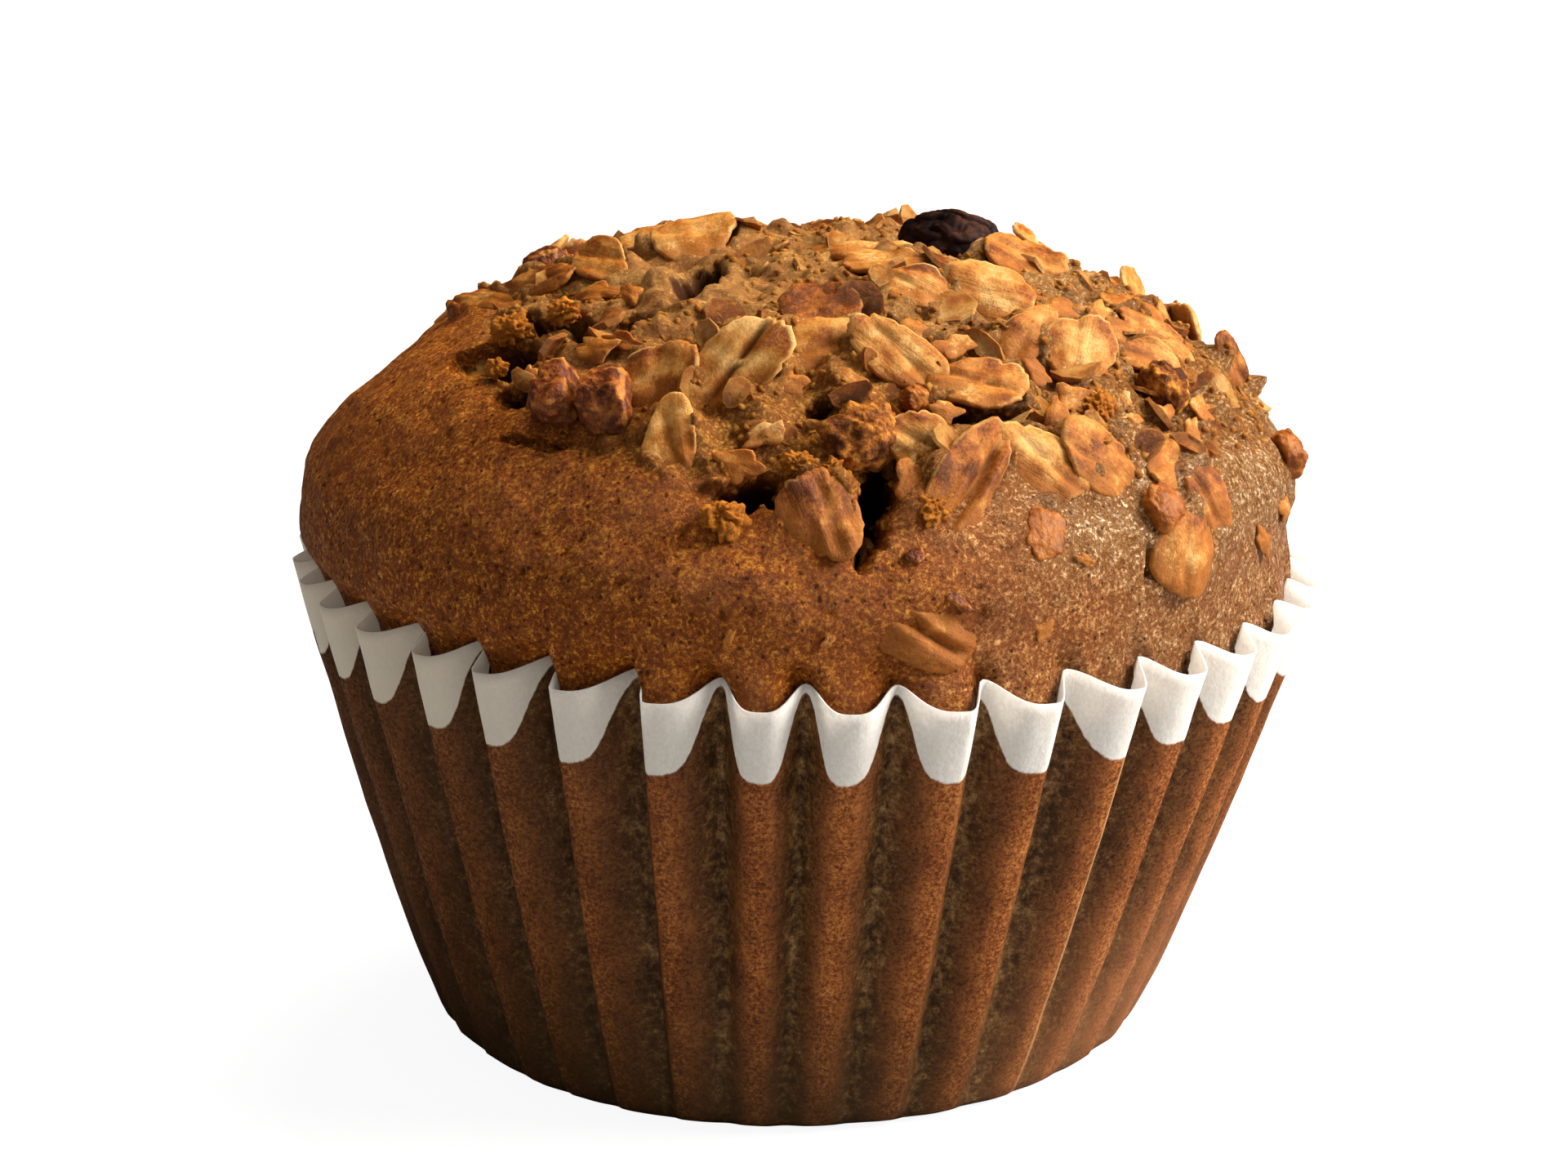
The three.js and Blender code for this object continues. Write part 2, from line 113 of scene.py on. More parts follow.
# Places where no chips or crumbs are strewn: azimuth, reach and radius.
BARE = [(-15, 28, 3.2), (-38, 22.5, 2.5), (-31, 26, 3.5), (-80, 12, 3.5), (-92, 8, 5),
        (-36, 11.2, 4.2)]

# Large rolled oats: azimuth, reach, length, width, then where the flake's face looks (azimuth and
# elevation), how far its length is rolled up from level, how brown it is (0 to 1), and the depth of
# the crease down its middle.
LARGE_OATS = [
    (-8, 22.6, 8.2, 4.8, -10, 30, 50, 0.0, 0.6),
    (-93, 6.5, 6.6, 5, -10, 62, 20, 0.05, 0.1),
    (-115, 10, 6, 4.4, 0, 74, 8, 0.25, 0.1),
    (-82, 13, 4.6, 3.4, -20, 45, -10, 0.2, 0.2),
    (-94, 21.5, 6.6, 2.8, -60, 62, 12, 0.7, 0.1),
    (-88, 17.5, 6.8, 3.4, -60, 48, 30, 0.75, 0.2),
    (7, 16.9, 6, 4.8, 0, 48, 14, 0.8, 0.1),
    (5, 20.2, 6.2, 4.2, 5, 42, 22, 0.35, 0.15),
    (-20, 23.6, 5.4, 4.8, -20, 32, 84, 0.4, 0.1),
    (18, 22, 7.4, 3.9, 10, 36, -45, 0.1, 0.15),
    (52, 6.6, 7.2, 3.8, 0, 84, 0, 0.25, 0.1),
    (40, 10.2, 6.8, 3.6, 0, 78, 4, 0.35, 0.1),
    (35, 14.8, 5, 4, 10, 48, -30, 0.2, 0.15),
    (49, 17.8, 6.4, 5.4, 10, 44, -22, 0.3, 0.1),
    (84, 16.4, 6.8, 4.2, 30, 56, -36, 0.35, 0.1),
    (44, 22.3, 5.6, 3.4, 15, 42, 40, 0.3, 0.2),
    (50, 24.8, 6.2, 5, 25, 38, 60, 0.15, 0.1),
    (29, 25.2, 6.6, 4.4, 10, 56, -14, 0.35, 0.2),
    (86, 24.4, 7.6, 3.4, 75, 52, -26, 0.6, 0.1),
    (75, 25.4, 6, 2.6, 45, 40, -34, 0.3, 0.1),
    (64, 27, 5, 3.2, 40, 38, -30, 0.55, 0.2),
    (84, 30.8, 5.2, 2.8, 42, 12, -66, 1.0, 0.2),
    (49, 32.6, 5.2, 3.8, 45, 38, 14, 0.25, 0.15),
    (52, 34.4, 5.2, 4.2, 45, 22, -70, 0.45, 0.3),
    (46, 35.8, 6.4, 5.2, 42, 12, 70, 0.6, 0.2),
    (14, 36.2, 7.2, 5.2, 14, 14, -25, 0.85, 0.7),
    (-15, 28, 5.6, 3.6, -15, 34, -74, 0.35, 0.25),
    (3.5, 32.4, 6.6, 4.8, 0, 28, -68, 0.6, 0.15),
    (20.5, 31.4, 8.8, 4.8, 24, 28, 48, 0.5, 0.8),
    (16.5, 29, 5.2, 4.2, 10, 38, -44, 0.15, 0.2),
    (31, 31, 7.4, 4.8, 26, 34, -45, 0.22, 0.25),
    (38.5, 31.5, 6.2, 5, 42, 28, -46, 0.5, 0.15),
]
OAT_THICKNESS = 0.75
OAT_BEDDING = 0.14
OAT_SUNK = 0.16  # the crust holds them this much deeper than the solid does
OAT_STANDING = 0.58
SMALL_FLAKE = 4.5  # those shorter than this have fewer faces and a more broken outline

# The back and the far side carry more, spread evenly between these azimuths.
SCATTER = {
    "seed": 7, "count": 32, "from": 106, "to": 236, "nearest": 4.9, "innermost": 10,
    "outermost": 34, "length": (5, 8), "lean": (-8, 38), "flat_within": 14, "lowest": 8,
    "aside": (-40, 40), "slimness": (0.55, 0.78), "roll": (-80, 80), "brownest": 0.6,
}

# Broken bits of flake, told in the same way.
SMALL_BITS = [
    (50, 28.6, 1.7, 1.1, 30, 35, 60, 0.0, 0),
    (48, 29.8, 2.0, 1.2, 30, 30, 10, 0.0, 0),
    (57, 31.6, 2.3, 1.6, 50, 30, 60, 0.0, 0),
    (74, 27.8, 3.4, 2.2, 50, 35, -60, 0.5, 0),
    (80, 27.4, 3.8, 1.6, 60, 44, -30, 1.0, 0),
    (66, 24.4, 3.2, 2.2, 30, 42, -20, 0.35, 0),
    (54, 30.2, 2.6, 1.8, 35, 36, 20, 0.3, 0),
    (63, 30.8, 2.4, 1.8, 60, 34, -30, 0.45, 0),
    (64, 36.4, 2.6, 1.6, 60, 10, -60, 0.55, 0),
    (73, 36.2, 2.6, 1.8, 70, 14, 0, 0.2, 0),
    (42, 27.6, 3.0, 2.0, 20, 40, -10, 0.3, 0),
    (37, 28.4, 2.6, 1.7, 10, 36, 70, 0.5, 0),
    (-3, 27.5, 2.9, 1.5, -5, 32, 32, 0.0, 0.1),
    (-6, 29.5, 3.2, 2.0, -10, 30, -20, 0.8, 0),
    (11, 21.6, 2.4, 1.9, 5, 45, 20, 0.4, 0),
    (10, 23.8, 2.8, 1.5, 10, 45, -50, 0.15, 0),
    (14, 31.0, 3.0, 2.2, 22, 22, 62, 0.5, 0),
    (-45, 24.2, 1.5, 1.1, -30, 30, 70, 0.1, 0),
    (-37, 20.9, 3.0, 1.9, -30, 45, 10, 0.3, 0),
    (-33, 19.8, 3.3, 1.3, -25, 40, -12, 0.85, 0),
    (0, 23.4, 2.6, 1.8, 0, 44, 20, 0.5, 0),
    (24, 19.4, 2.6, 1.8, 15, 50, 30, 0.3, 0),
    (30, 21.4, 3.0, 1.8, 20, 46, 15, 0.5, 0),
    (62, 20.4, 3.4, 2.2, 40, 52, -20, 0.4, 0),
    (70, 22.6, 2.8, 1.8, 40, 48, 30, 0.2, 0),
    (40, 25.0, 2.4, 1.6, 30, 40, -60, 0.6, 0),
    (22, 26.6, 2.2, 1.5, 15, 40, -20, 0.4, 0),
    (-60, 15.0, 3.0, 2.0, -40, 60, 20, 0.55, 0),
    (-48, 14.4, 2.4, 1.5, -30, 55, -30, 0.4, 0),
    (-6, 36.1, 1.1, 0.7, -6, 12, 60, 0.0, 0),
    (4, 36.2, 1.1, 0.7, 4, 12, 60, 0.0, 0),
    (27, 36.4, 1.6, 1.3, 27, 12, 20, 0.1, 0),
    (32, 35.2, 1.4, 0.8, 32, 16, -30, 0.3, 0),
]

# Lumps set in the crust: kind, azimuth, reach, length, width, height, turn.
LUMPS = [
    ("nut", -35, 25.8, 3.3, 5.4, 3.6, 30),
    ("nut", -26.5, 26.0, 3.7, 5.0, 3.8, 20),
    ("clump", 9.5, 28.0, 5.2, 4.4, 3.0, 30),
    ("clump", 59, 28.9, 4.2, 3.2, 3.0, -40),
    ("fruit", 18, 25.5, 2.0, 1.7, 1.6, 20),
    ("fruit", 79, 35, 3.4, 3.6, 2.4, 0),
    ("fruit", 44, 34.2, 3.4, 3.4, 2.0, 60),
    ("fruit", 28, 34.0, 3.9, 3.0, 0.7, 62),
    ("crumb", -7, 32.4, 2.9, 2.6, 2.2, 0),
    ("crumb", 1, 29.5, 2.3, 1.5, 1.4, 0),
    ("crumb", 45, 28.3, 3.2, 2.2, 1.6, 20),
    ("crumb", 16, 32.4, 2.6, 2.2, 1.6, 50),
    ("crumb", 5, 30.2, 2.4, 1.8, 1.6, 40),
    ("crumb", -53, 24.2, 2.0, 1.6, 1.2, 10),
    ("crumb", -63, 21.0, 3.4, 2.2, 2.0, 30),
    ("crumb", -57, 18.0, 3.2, 2.2, 1.6, 0),
    ("nut", 140, 24, 4.4, 3.6, 3.2, 15),
    ("nut", 13, 34.3, 1.4, 1.0, 0.8, 20),
    ("nut", 17, 35.7, 2.4, 0.8, 0.6, -38),
    ("fruit", 185, 30, 3.6, 3.0, 2.4, 60),
    ("clump", 225, 24.5, 4.6, 4, 3.2, 0),
    ("nut", 242, 20, 3.8, 3.4, 2.8, 30),
]
# How square each kind is, then the depth of its large folds, its small folds and its grit.
LUMP_STYLE = {
    "nut": (3.4, 0.1, 0.07, 0.05),
    "clump": (2.9, 0.2, 0.16, 0.08),
    "fruit": (2.5, 0.16, 0.1, 0.04),
    "crumb": (2.1, 0.26, 0.34, 0.22),
}

RAISIN = {"azimuth": 97, "reach": 11.8, "height": 55.9, "length": 7.8, "width": 6.2, "depth": 4.4,
          "droop": 7, "turn": -8}


# ---- Noise and small helpers

def clamp(x):
    return np.minimum(np.maximum(x, 0), 1)


def smooth(x):
    x = clamp(x)
    return x * x * (3 - 2 * x)


def blend(a, b, share):
    return a + (b - a) * share


def unit(v):
    return v / np.linalg.norm(v, axis=-1, keepdims=True)


def polar(azimuth, radius, height):
    """Points from azimuth, radius and height, any of which may be arrays."""
    a = np.radians(azimuth)
    x, y, z = np.broadcast_arrays(radius * np.sin(a), -radius * np.cos(a), np.asarray(height, float))
    return np.stack([x, y, z], -1)


def lattice(seed):
    """A shuffled table of 256 and as many random unit vectors."""
    dice = np.random.RandomState(seed)
    return dice.permutation(256), unit(dice.normal(size=(256, 3)))


def shuffled(shuffle, cells):
    """Each whole-numbered cell's own entry of a table of 256."""
    x, y, z = cells.T & 255
    return shuffle[(shuffle[(shuffle[x] + y) & 255] + z) & 255]


def noise(points, size, seed):
    """Smooth noise from about -1 to 1, its bumps about size across."""
    shuffle, slopes = lattice(seed)
    cell = points / size + 77.7
    base = np.floor(cell).astype(int)
    local = cell - base
    fade = local ** 3 * (local * (local * 6 - 15) + 10)
    total = 0
    for corner in np.ndindex(2, 2, 2):
        slope = slopes[shuffled(shuffle, base + corner)]
        weight = np.prod(np.where(corner, fade, 1 - fade), axis=1)
        total = total + weight * np.sum(slope * (local - corner), axis=1)
    return total * 1.7


def wander(points, size, seed):
    """Three such noises, as a shift in every direction."""
    return np.stack([noise(points, size, seed + i) for i in range(3)], -1)


def crumble(points, size, seed):
    """Rounded lumps with sharp creases between them, about -0.5 to 0.5."""
    return np.abs(noise(points, size, seed)) * 1.4 - 0.5


def nearest_seed(points, size, seed):
    """Distance to the nearest of the points strewn one to a cell, as a share of the cell."""
    shuffle, _ = lattice(seed)
    places = np.random.RandomState(seed + 1).rand(256, 3)
    cell = points / size + 77.7
    base = np.floor(cell).astype(int)
    best = np.full(len(points), 9.0)
    for corner in np.ndindex(3, 3, 3):
        near = base + corner - 1
        place = near + places[shuffled(shuffle, near)]
        best = np.minimum(best, np.linalg.norm(cell - place, axis=1))
    return best


def put_in_scene(name, data):
    thing = bpy.data.objects.new(name, data)
    bpy.context.scene.collection.objects.link(thing)
    return thing


def new_piece(name, points, faces, material, **attributes):
    """A mesh object in metres from points in millimetres, with its attributes by name."""
    mesh = bpy.data.meshes.new(name)
    mesh.from_pydata((np.asarray(points) * MM).tolist(), [], faces)
    for label, values in attributes.items():
        layer = mesh.attributes.new(label, "FLOAT", "POINT")
        layer.data.foreach_set("value", np.asarray(values, np.float32))
    mesh.shade_smooth()
    mesh.materials.append(material)
    mesh.validate()
    return put_in_scene(name, mesh)


class Heap:
    """Gathers the points, faces and attributes of many small shapes that become one piece."""

    def __init__(self, *labels):
        self.points, self.faces, self.count = [], [], 0
        self.values = {label: [] for label in labels}

    def add(self, points, faces, **values):
        self.faces += [tuple(i + self.count for i in face) for face in faces]
        self.points.append(points)
        self.count += len(points)
        for label, gathered in self.values.items():
            gathered.append(np.broadcast_to(values[label], (len(points),)))

    def piece(self, name, material):
        values = {label: np.concatenate(v) for label, v in self.values.items()}
        return new_piece(name, np.concatenate(self.points), self.faces, material, **values)


# ---- Node trees

MATH = {
    np.add: "ADD", np.subtract: "SUBTRACT", np.multiply: "MULTIPLY", np.true_divide: "DIVIDE",
    np.power: "POWER", np.remainder: "FLOORED_MODULO", np.floor: "FLOOR", np.sign: "SIGN",
    np.absolute: "ABSOLUTE", np.sqrt: "SQRT", np.sin: "SINE", np.cos: "COSINE",
    np.maximum: "MAXIMUM", np.minimum: "MINIMUM", np.greater: "GREATER_THAN", np.less: "LESS_THAN",
    np.radians: "RADIANS",
}


class Term(np.lib.mixins.NDArrayOperatorsMixin):
    """What a node puts out; arithmetic on it, numpy's too, adds Math nodes to its tree."""

    def __init__(self, nodes, socket):
        self.nodes, self.socket = nodes, socket

    def __array_ufunc__(self, function, method, *values):
        return self.nodes.make("ShaderNodeMath", dict(enumerate(values)), operation=MATH[function])

    def output(self, label):
        """Another output of the same node."""
        return Term(self.nodes, self.socket.node.outputs[label])

    def step(self, low, high):
        """0 below low, 1 above high, smooth between."""
        return self.nodes.make("ShaderNodeMapRange", {"Value": self, "From Min": low, "From Max": high},
                               interpolation_type="SMOOTHSTEP")


class Nodes:
    """Adds nodes to one tree and gives back what they put out."""

    def __init__(self, tree):
        self.tree = tree

    def feed(self, node, inputs):
        """Feeds inputs by name or by number, each with a Term or a plain value."""
        for label, value in inputs.items():
            socket = node.inputs[label]
            if isinstance(value, Term):
                self.tree.links.new(value.socket, socket)
            else:
                socket.default_value = (*value, 1) if socket.type == "RGBA" else value

    def make(self, kind, inputs=None, output=0, **settings):
        node = self.tree.nodes.new(kind)
        for label, value in settings.items():
            setattr(node, label, value)
        self.feed(node, inputs or {})
        return Term(self, node.outputs[output])

    def vector(self, *parts):
        return self.make("ShaderNodeCombineXYZ", dict(enumerate(parts)))

    def parts(self, vector):
        first = self.make("ShaderNodeSeparateXYZ", {0: vector})
        return first, first.output(1), first.output(2)

    def scaled(self, vector, by):
        return self.make("ShaderNodeVectorMath", {0: vector, "Scale": by}, operation="SCALE")

    def waves(self, scale, detail=2.0, roughness=0.5, output="Fac", **place):
        """Noise, at the place that a tree takes by itself unless Vector is given."""
        return self.make("ShaderNodeTexNoise", {"Scale": scale, "Detail": detail,
                                                "Roughness": roughness, **place}, output)

    def stored(self, geometry, domain="POINT", **amounts):
        for label, amount in amounts.items():
            geometry = self.make("GeometryNodeStoreNamedAttribute", {
                "Geometry": geometry, "Name": label, "Value": amount}, data_type="FLOAT", domain=domain)
        return geometry


class Group(Nodes):
    """A node group with named inputs, as {name: default or kind}, and outputs, as {name: kind}."""

    def __init__(self, name, tree_kind, inputs, outputs):
        super().__init__(bpy.data.node_groups.new(name, tree_kind))
        for side, sockets in (("INPUT", inputs), ("OUTPUT", outputs)):
            for label, value in sockets.items():
                kind = value if isinstance(value, str) else type(value).__name__.capitalize()
                socket = self.tree.interface.new_socket(
                    label, in_out=side, socket_type="NodeSocket" + kind)
                if kind is not value:
                    socket.default_value = value
        entry = self.tree.nodes.new("NodeGroupInput")
        self.given = {label: Term(self, entry.outputs[label]) for label in inputs}
        self.end = self.tree.nodes.new("NodeGroupOutput")

    def put_out(self, **values):
        self.feed(self.end, values)
        return self.tree

    def put_out_piece(self, geometry):
        """Ends a geometry tree: smooth shading, plain mesh and the material that was given."""
        smoothed = self.make("GeometryNodeSetShadeSmooth", {"Geometry": geometry})
        real = self.make("GeometryNodeRealizeInstances", {"Geometry": smoothed})
        return self.put_out(Geometry=self.make("GeometryNodeSetMaterial", {
            "Geometry": real, "Material": self.given["Material"]}))


# ---- Finishes

def grain_group():
    """Fine uneven colour: two sizes of grain, each from 0 to 1."""
    group = Group("baked_grain", "ShaderNodeTree", {"Grain size": 0.3, "Sharpness": 0.5},
                  {"Amount": "Float", "Patches": "Float"})
    place = group.make("ShaderNodeTexCoord", output="Object")
    scale = 1000.0 / group.given["Grain size"]
    spread = (0.5 - group.given["Sharpness"] * 0.4) * 0.6
    amount = group.make("ShaderNodeMapRange", {
        "Value": group.waves(scale, 5.0, 0.85, Vector=place), "From Min": 0.5 - spread,
        "From Max": 0.5 + spread})
    return group.put_out(Amount=amount, Patches=group.waves(scale * 0.07, 3.0, 0.6, Vector=place))


def pore_group():
    """Small round pits: 1 at the bottom of a pit, 0 on the crust between."""
    group = Group("pores", "ShaderNodeTree", {"Spacing": 1.0, "Share": 0.3}, {"Pit": "Float"})
    place = group.make("ShaderNodeTexCoord", output="Object")
    scale = 1000.0 / group.given["Spacing"]
    bent = group.scaled(group.waves(scale * 2.0, output="Color", Vector=place), 0.35)
    shifted = group.make("ShaderNodeVectorMath", {0: group.scaled(place, scale), 1: bent})
    distance = group.make("ShaderNodeTexVoronoi", {"Vector": shifted, "Scale": 1.0})
    chance = group.make("ShaderNodeSeparateColor", {0: distance.output("Color")})
    return group.put_out(Pit=clamp((group.given["Share"] * chance * chance - distance) * 9.0))


BAKED_GRAIN = grain_group()
PORES = pore_group()


class Finish(Nodes):
    """A Principled material under construction."""

    def __init__(self, name, roughness=0.6, specular=0.4, subsurface=0.0, reach=(1.0, 0.4, 0.15),
                 shine=(1.0, 1.0, 1.0)):
        self.material = bpy.data.materials.new(name)
        self.material.use_nodes = True
        super().__init__(self.material.node_tree)
        self.dress({"Roughness": roughness, "Specular IOR Level": specular,
                    "Subsurface Weight": subsurface, "Subsurface Radius": reach,
                    "Subsurface Scale": MM, "Specular Tint": shine})

    def dress(self, inputs):
        self.feed(self.tree.nodes["Principled BSDF"], inputs)

    def attributes(self, *names):
        return [self.make("ShaderNodeAttribute", output="Fac", attribute_name=n) for n in names]

    def grain(self, size, sharpness, output="Amount"):
        return self.make("ShaderNodeGroup", {"Grain size": size, "Sharpness": sharpness}, output,
                         node_tree=BAKED_GRAIN)

    def pores(self, spacing, share):
        return self.make("ShaderNodeGroup", {"Spacing": spacing, "Share": share}, node_tree=PORES)

    def noise(self, size, detail=2.0, roughness=0.5, upright=1.0):
        """Noise in bumps of a size in millimetres, longer upwards where upright is below 1."""
        place = self.make("ShaderNodeTexCoord", output="Object")
        place = self.make("ShaderNodeMapping", {"Vector": place, "Scale": (1, 1, upright)})
        return self.waves(1000 / size, detail, roughness, Vector=place)

    def ramp(self, amount, *stops):
        """Colours along an amount, each stop (position, red, green, blue)."""
        colour = self.make("ShaderNodeValToRGB", {"Fac": amount})
        elements = colour.socket.node.color_ramp.elements
        while len(elements) < len(stops):
            elements.new(0.5)
        for element, (position, *shade) in zip(elements, stops):
            element.position, element.color = position, (*shade, 1)
        return colour

    def curve(self, amount, *knots):
        """A smooth curve through the knots, each (from, to), both 0 to 1."""
        value = self.make("ShaderNodeFloatCurve", {"Value": amount})
        mapping = value.socket.node.mapping
        points = mapping.curves[0].points
        points[0].location, points[1].location = knots[0], knots[-1]
        for knot in knots[1:-1]:
            points.new(*knot)
        mapping.update()
        return value

    def mix(self, amount, first, second):
        return self.make("ShaderNodeMix", {"Factor": amount, 6: first, 7: second}, 2, data_type="RGBA")

    def done(self, colour, roughness, *layers):
        """The material, with bumps one over another, each (height from 0 to 1, depth in mm)."""
        below = {}
        for height, depth in layers:
            bump = self.make("ShaderNodeBump", {"Height": height, "Distance": depth * MM,
                                                "Strength": 1.0, **below})
            below = {"Normal": bump}
        self.dress({"Base Color": colour, "Roughness": roughness, **below})
        return self.material


def crust_finish():
    """A moulded brown skin, paler and torn where crag is high, and with a painted sheen, paler and
    glossier, on the lit right side.
    """
    finish = Finish("baked_crust", specular=0.3, shine=(1.0, 0.84, 0.6))
    crag, recess, golden, lofty = finish.attributes("crag", "recess", "golden", "lofty")
    grain = finish.grain(0.3, 0.88)
    patches = finish.grain(0.26, 0.78, "Patches")
    pinholes = finish.pores(0.5, 0.36)
    pores = finish.pores(0.95, 0.24)
    cloudy = finish.noise(7.0, 3.0, 0.6)
    mottle = finish.noise(1.1, 3.0, 0.65)
    sandy = clamp(grain * 0.72 + (mottle - 0.5) * 0.9 + 0.14)
    skin = finish.ramp(sandy, (0.0, 0.102, 0.016, 0.001), (0.4, 0.262, 0.052, 0.0024),
                       (0.7, 0.43, 0.113, 0.0056), (1.0, 0.72, 0.3, 0.028))
    torn = finish.ramp(sandy, (0.0, 0.128, 0.024, 0.002), (0.5, 0.255, 0.082, 0.0078),
                       (1.0, 0.52, 0.25, 0.042))
    # Painted sheen: the pale colours of the lit right side.
    painted_sheen_colour = finish.ramp(sandy, (0.0, 0.128, 0.04, 0.008), (0.4, 0.315, 0.14, 0.04),
                        (0.7, 0.46, 0.29, 0.13), (1.0, 0.8, 0.66, 0.46))
    torn = finish.mix(lofty * 0.32, torn, (0.56, 0.32, 0.1))
    colour = finish.mix(crag * 0.9, skin, torn)
    colour = finish.mix(golden * (0.76 - crag * 0.45), colour, painted_sheen_colour)
    pit = np.maximum(pinholes, pores) * (1.0 - crag * 0.5)
    # Darker patches of the crust's own tone, fewer on the painted sheen side; then painted shade in the
    # holes, crevices and pits.
    for share, shade in (
        (patches.step(0.44, 0.66) * (0.38 - golden * 0.18), (0.18, 0.038, 0.0034)),
        (cloudy.step(0.45, 0.75) * (0.3 - golden * 0.14), (0.24, 0.05, 0.0044)),
        (recess.step(0.05, 0.9), (0.06, 0.015, 0.002)),
        (pit * 0.8, (0.045, 0.01, 0.0015)),
    ):
        colour = finish.mix(share, colour, shade)
    roughness = 0.56 - golden * 0.3 - grain * 0.08 + pit * 0.4 + crag * 0.1 + recess * 0.3
    return finish.done(colour, roughness, (mottle, 0.16), (grain * (golden * 0.5 + 1.0), 0.06),
                       (1.0 - pit, 0.09))


def oat_finish():
    """Waxy flakes with fine lines along them, browned by tone, batter baked onto their low parts, a
    painted highlight along their rims and painted shade in their creases.
    """
    finish = Finish("rolled_oat", specular=0.34, subsurface=0.12, reach=(1.0, 0.45, 0.1),
                    shine=(1.0, 0.86, 0.62))
    tone, edge, crease, along, across, glaze = finish.attributes(
        "tone", "edge", "crease", "along", "across", "glaze")
    blotch = finish.noise(1.7, 4.0, 0.65)
    toast = finish.noise(4.0)
    fine = finish.noise(0.26, 4.0, 0.85)
    ribs = finish.waves(1.4, 5.0, 0.6, Vector=finish.vector(along * 0.45, across * 4.5, tone * 9.0))
    browned = tone * 0.7 + (blotch - 0.5) * 2.0 + (toast - 0.5) * 1.6 + (fine - 0.5) * 1.0
    browned = browned + (ribs - 0.5) * 0.3 + edge.step(0.45, 0.88) * 0.12 + 0.24
    body = finish.ramp(clamp(browned), (0.0, 0.63, 0.352, 0.112), (0.25, 0.515, 0.238, 0.052),
                       (0.5, 0.43, 0.155, 0.02), (0.76, 0.29, 0.072, 0.0065),
                       (1.0, 0.12, 0.026, 0.003))
    # Painted highlight: a pale band along the thin rim.
    rim_highlight = finish.mix(tone.step(0.1, 0.9), (0.7, 0.45, 0.15), (0.48, 0.19, 0.032))
    colour = finish.mix(edge.step(0.88, 0.98) * blotch.step(0.45, 0.6) * 0.7, body, rim_highlight)
    # Painted shade: the crease down the middle is darkened.
    colour = finish.mix(crease * 0.8, colour, (0.12, 0.028, 0.004))
    batter = (glaze + (blotch - 0.5) * 2.0 + (fine - 0.5) * 1.6).step(0.42, 0.66)
    crumbly = finish.ramp(fine, (0.3, 0.18, 0.04, 0.0025), (0.7, 0.44, 0.14, 0.012))
    return finish.done(finish.mix(batter * 0.76, colour, crumbly), 0.22 + fine * 0.42 + batter * 0.08,
                       (blotch, 0.16), (ribs, 0.07), (fine, 0.1))


def crumb_finish(name, dark, middle, light):
    finish = Finish(name, specular=0.2, subsurface=0.1)
    tone, = finish.attributes("tone")
    grain = finish.grain(0.22, 0.45)
    colour = finish.ramp(clamp(tone * 0.4 + grain * 0.6), (0.0, *dark), (0.5, *middle), (1.0, *light))
    return finish.done(colour, 0.5 + grain * 0.2, (grain, 0.09))


def nut_finish():
    """Brown skin inside the cut sides, gold flesh along the corners."""
    finish = Finish("nut_skin", specular=0.25, subsurface=0.12, reach=(1.2, 0.4, 0.1))
    tone, = finish.attributes("tone")
    fine = finish.noise(0.4, 3.0, 0.65)
    blotch = finish.noise(1.6, 3.0, 0.65)
    skin = finish.ramp(blotch + (fine - 0.5) * 0.4, (0.3, 0.052, 0.0115, 0.0025),
                       (0.52, 0.138, 0.03, 0.004), (0.72, 0.3, 0.088, 0.011))
    flesh = finish.ramp(fine, (0.3, 0.36, 0.11, 0.01), (0.7, 0.62, 0.27, 0.04))
    return finish.done(finish.mix(tone.step(0.55, 1.0) * 0.58, skin, flesh), 0.4 + fine * 0.3,
                       (blotch, 0.25), (fine, 0.12))


def clump_finish():
    finish = Finish("dark_clump", specular=0.12, subsurface=0.04)
    tone, = finish.attributes("tone")
    fine = finish.noise(0.3, 4.0, 0.7)
    blotch = finish.noise(1.3, 3.0, 0.7)
    colour = finish.ramp(blotch + (fine - 0.5) * 0.5 + (tone - 0.5) * 0.22,
                         (0.3, 0.065, 0.017, 0.003), (0.46, 0.215, 0.062, 0.008),
                         (0.6, 0.45, 0.165, 0.018), (0.8, 0.62, 0.31, 0.06))
    return finish.done(colour, 0.5 + fine * 0.3, (blotch, 0.25), (fine, 0.12))


def fruit_finish():
    finish = Finish("candied_fruit", specular=0.3, shine=(1.0, 0.8, 0.55))
    fine = finish.noise(0.4, 3.0, 0.65)
    blotch = finish.noise(1.4, 3.0, 0.65)
    colour = finish.ramp(blotch + (fine - 0.5) * 0.4, (0.3, 0.125, 0.025, 0.0023),
                         (0.5, 0.245, 0.063, 0.006), (0.72, 0.38, 0.13, 0.018))
    return finish.done(colour, 0.34 + fine * 0.3, (blotch, 0.12), (fine, 0.1))


def raisin_finish():
    finish = Finish("raisin_skin", specular=0.1)
    fine = finish.noise(0.35, 3.0)
    blotch = finish.noise(1.5, 3.0, 0.6)
    crest, = finish.attributes("crest")
    dark = finish.ramp(blotch, (0.3, 0.005, 0.0022, 0.0015), (0.7, 0.02, 0.006, 0.0035))
    # Painted highlight: the crests of the folds on the upper side are lighter.
    crest_highlight = crest.step(0.55, 1.0) * blotch.step(0.35, 0.6) * 0.28
    return finish.done(finish.mix(crest_highlight, dark, (0.13, 0.042, 0.014)), 0.46 + fine * 0.3, (fine, 0.05))


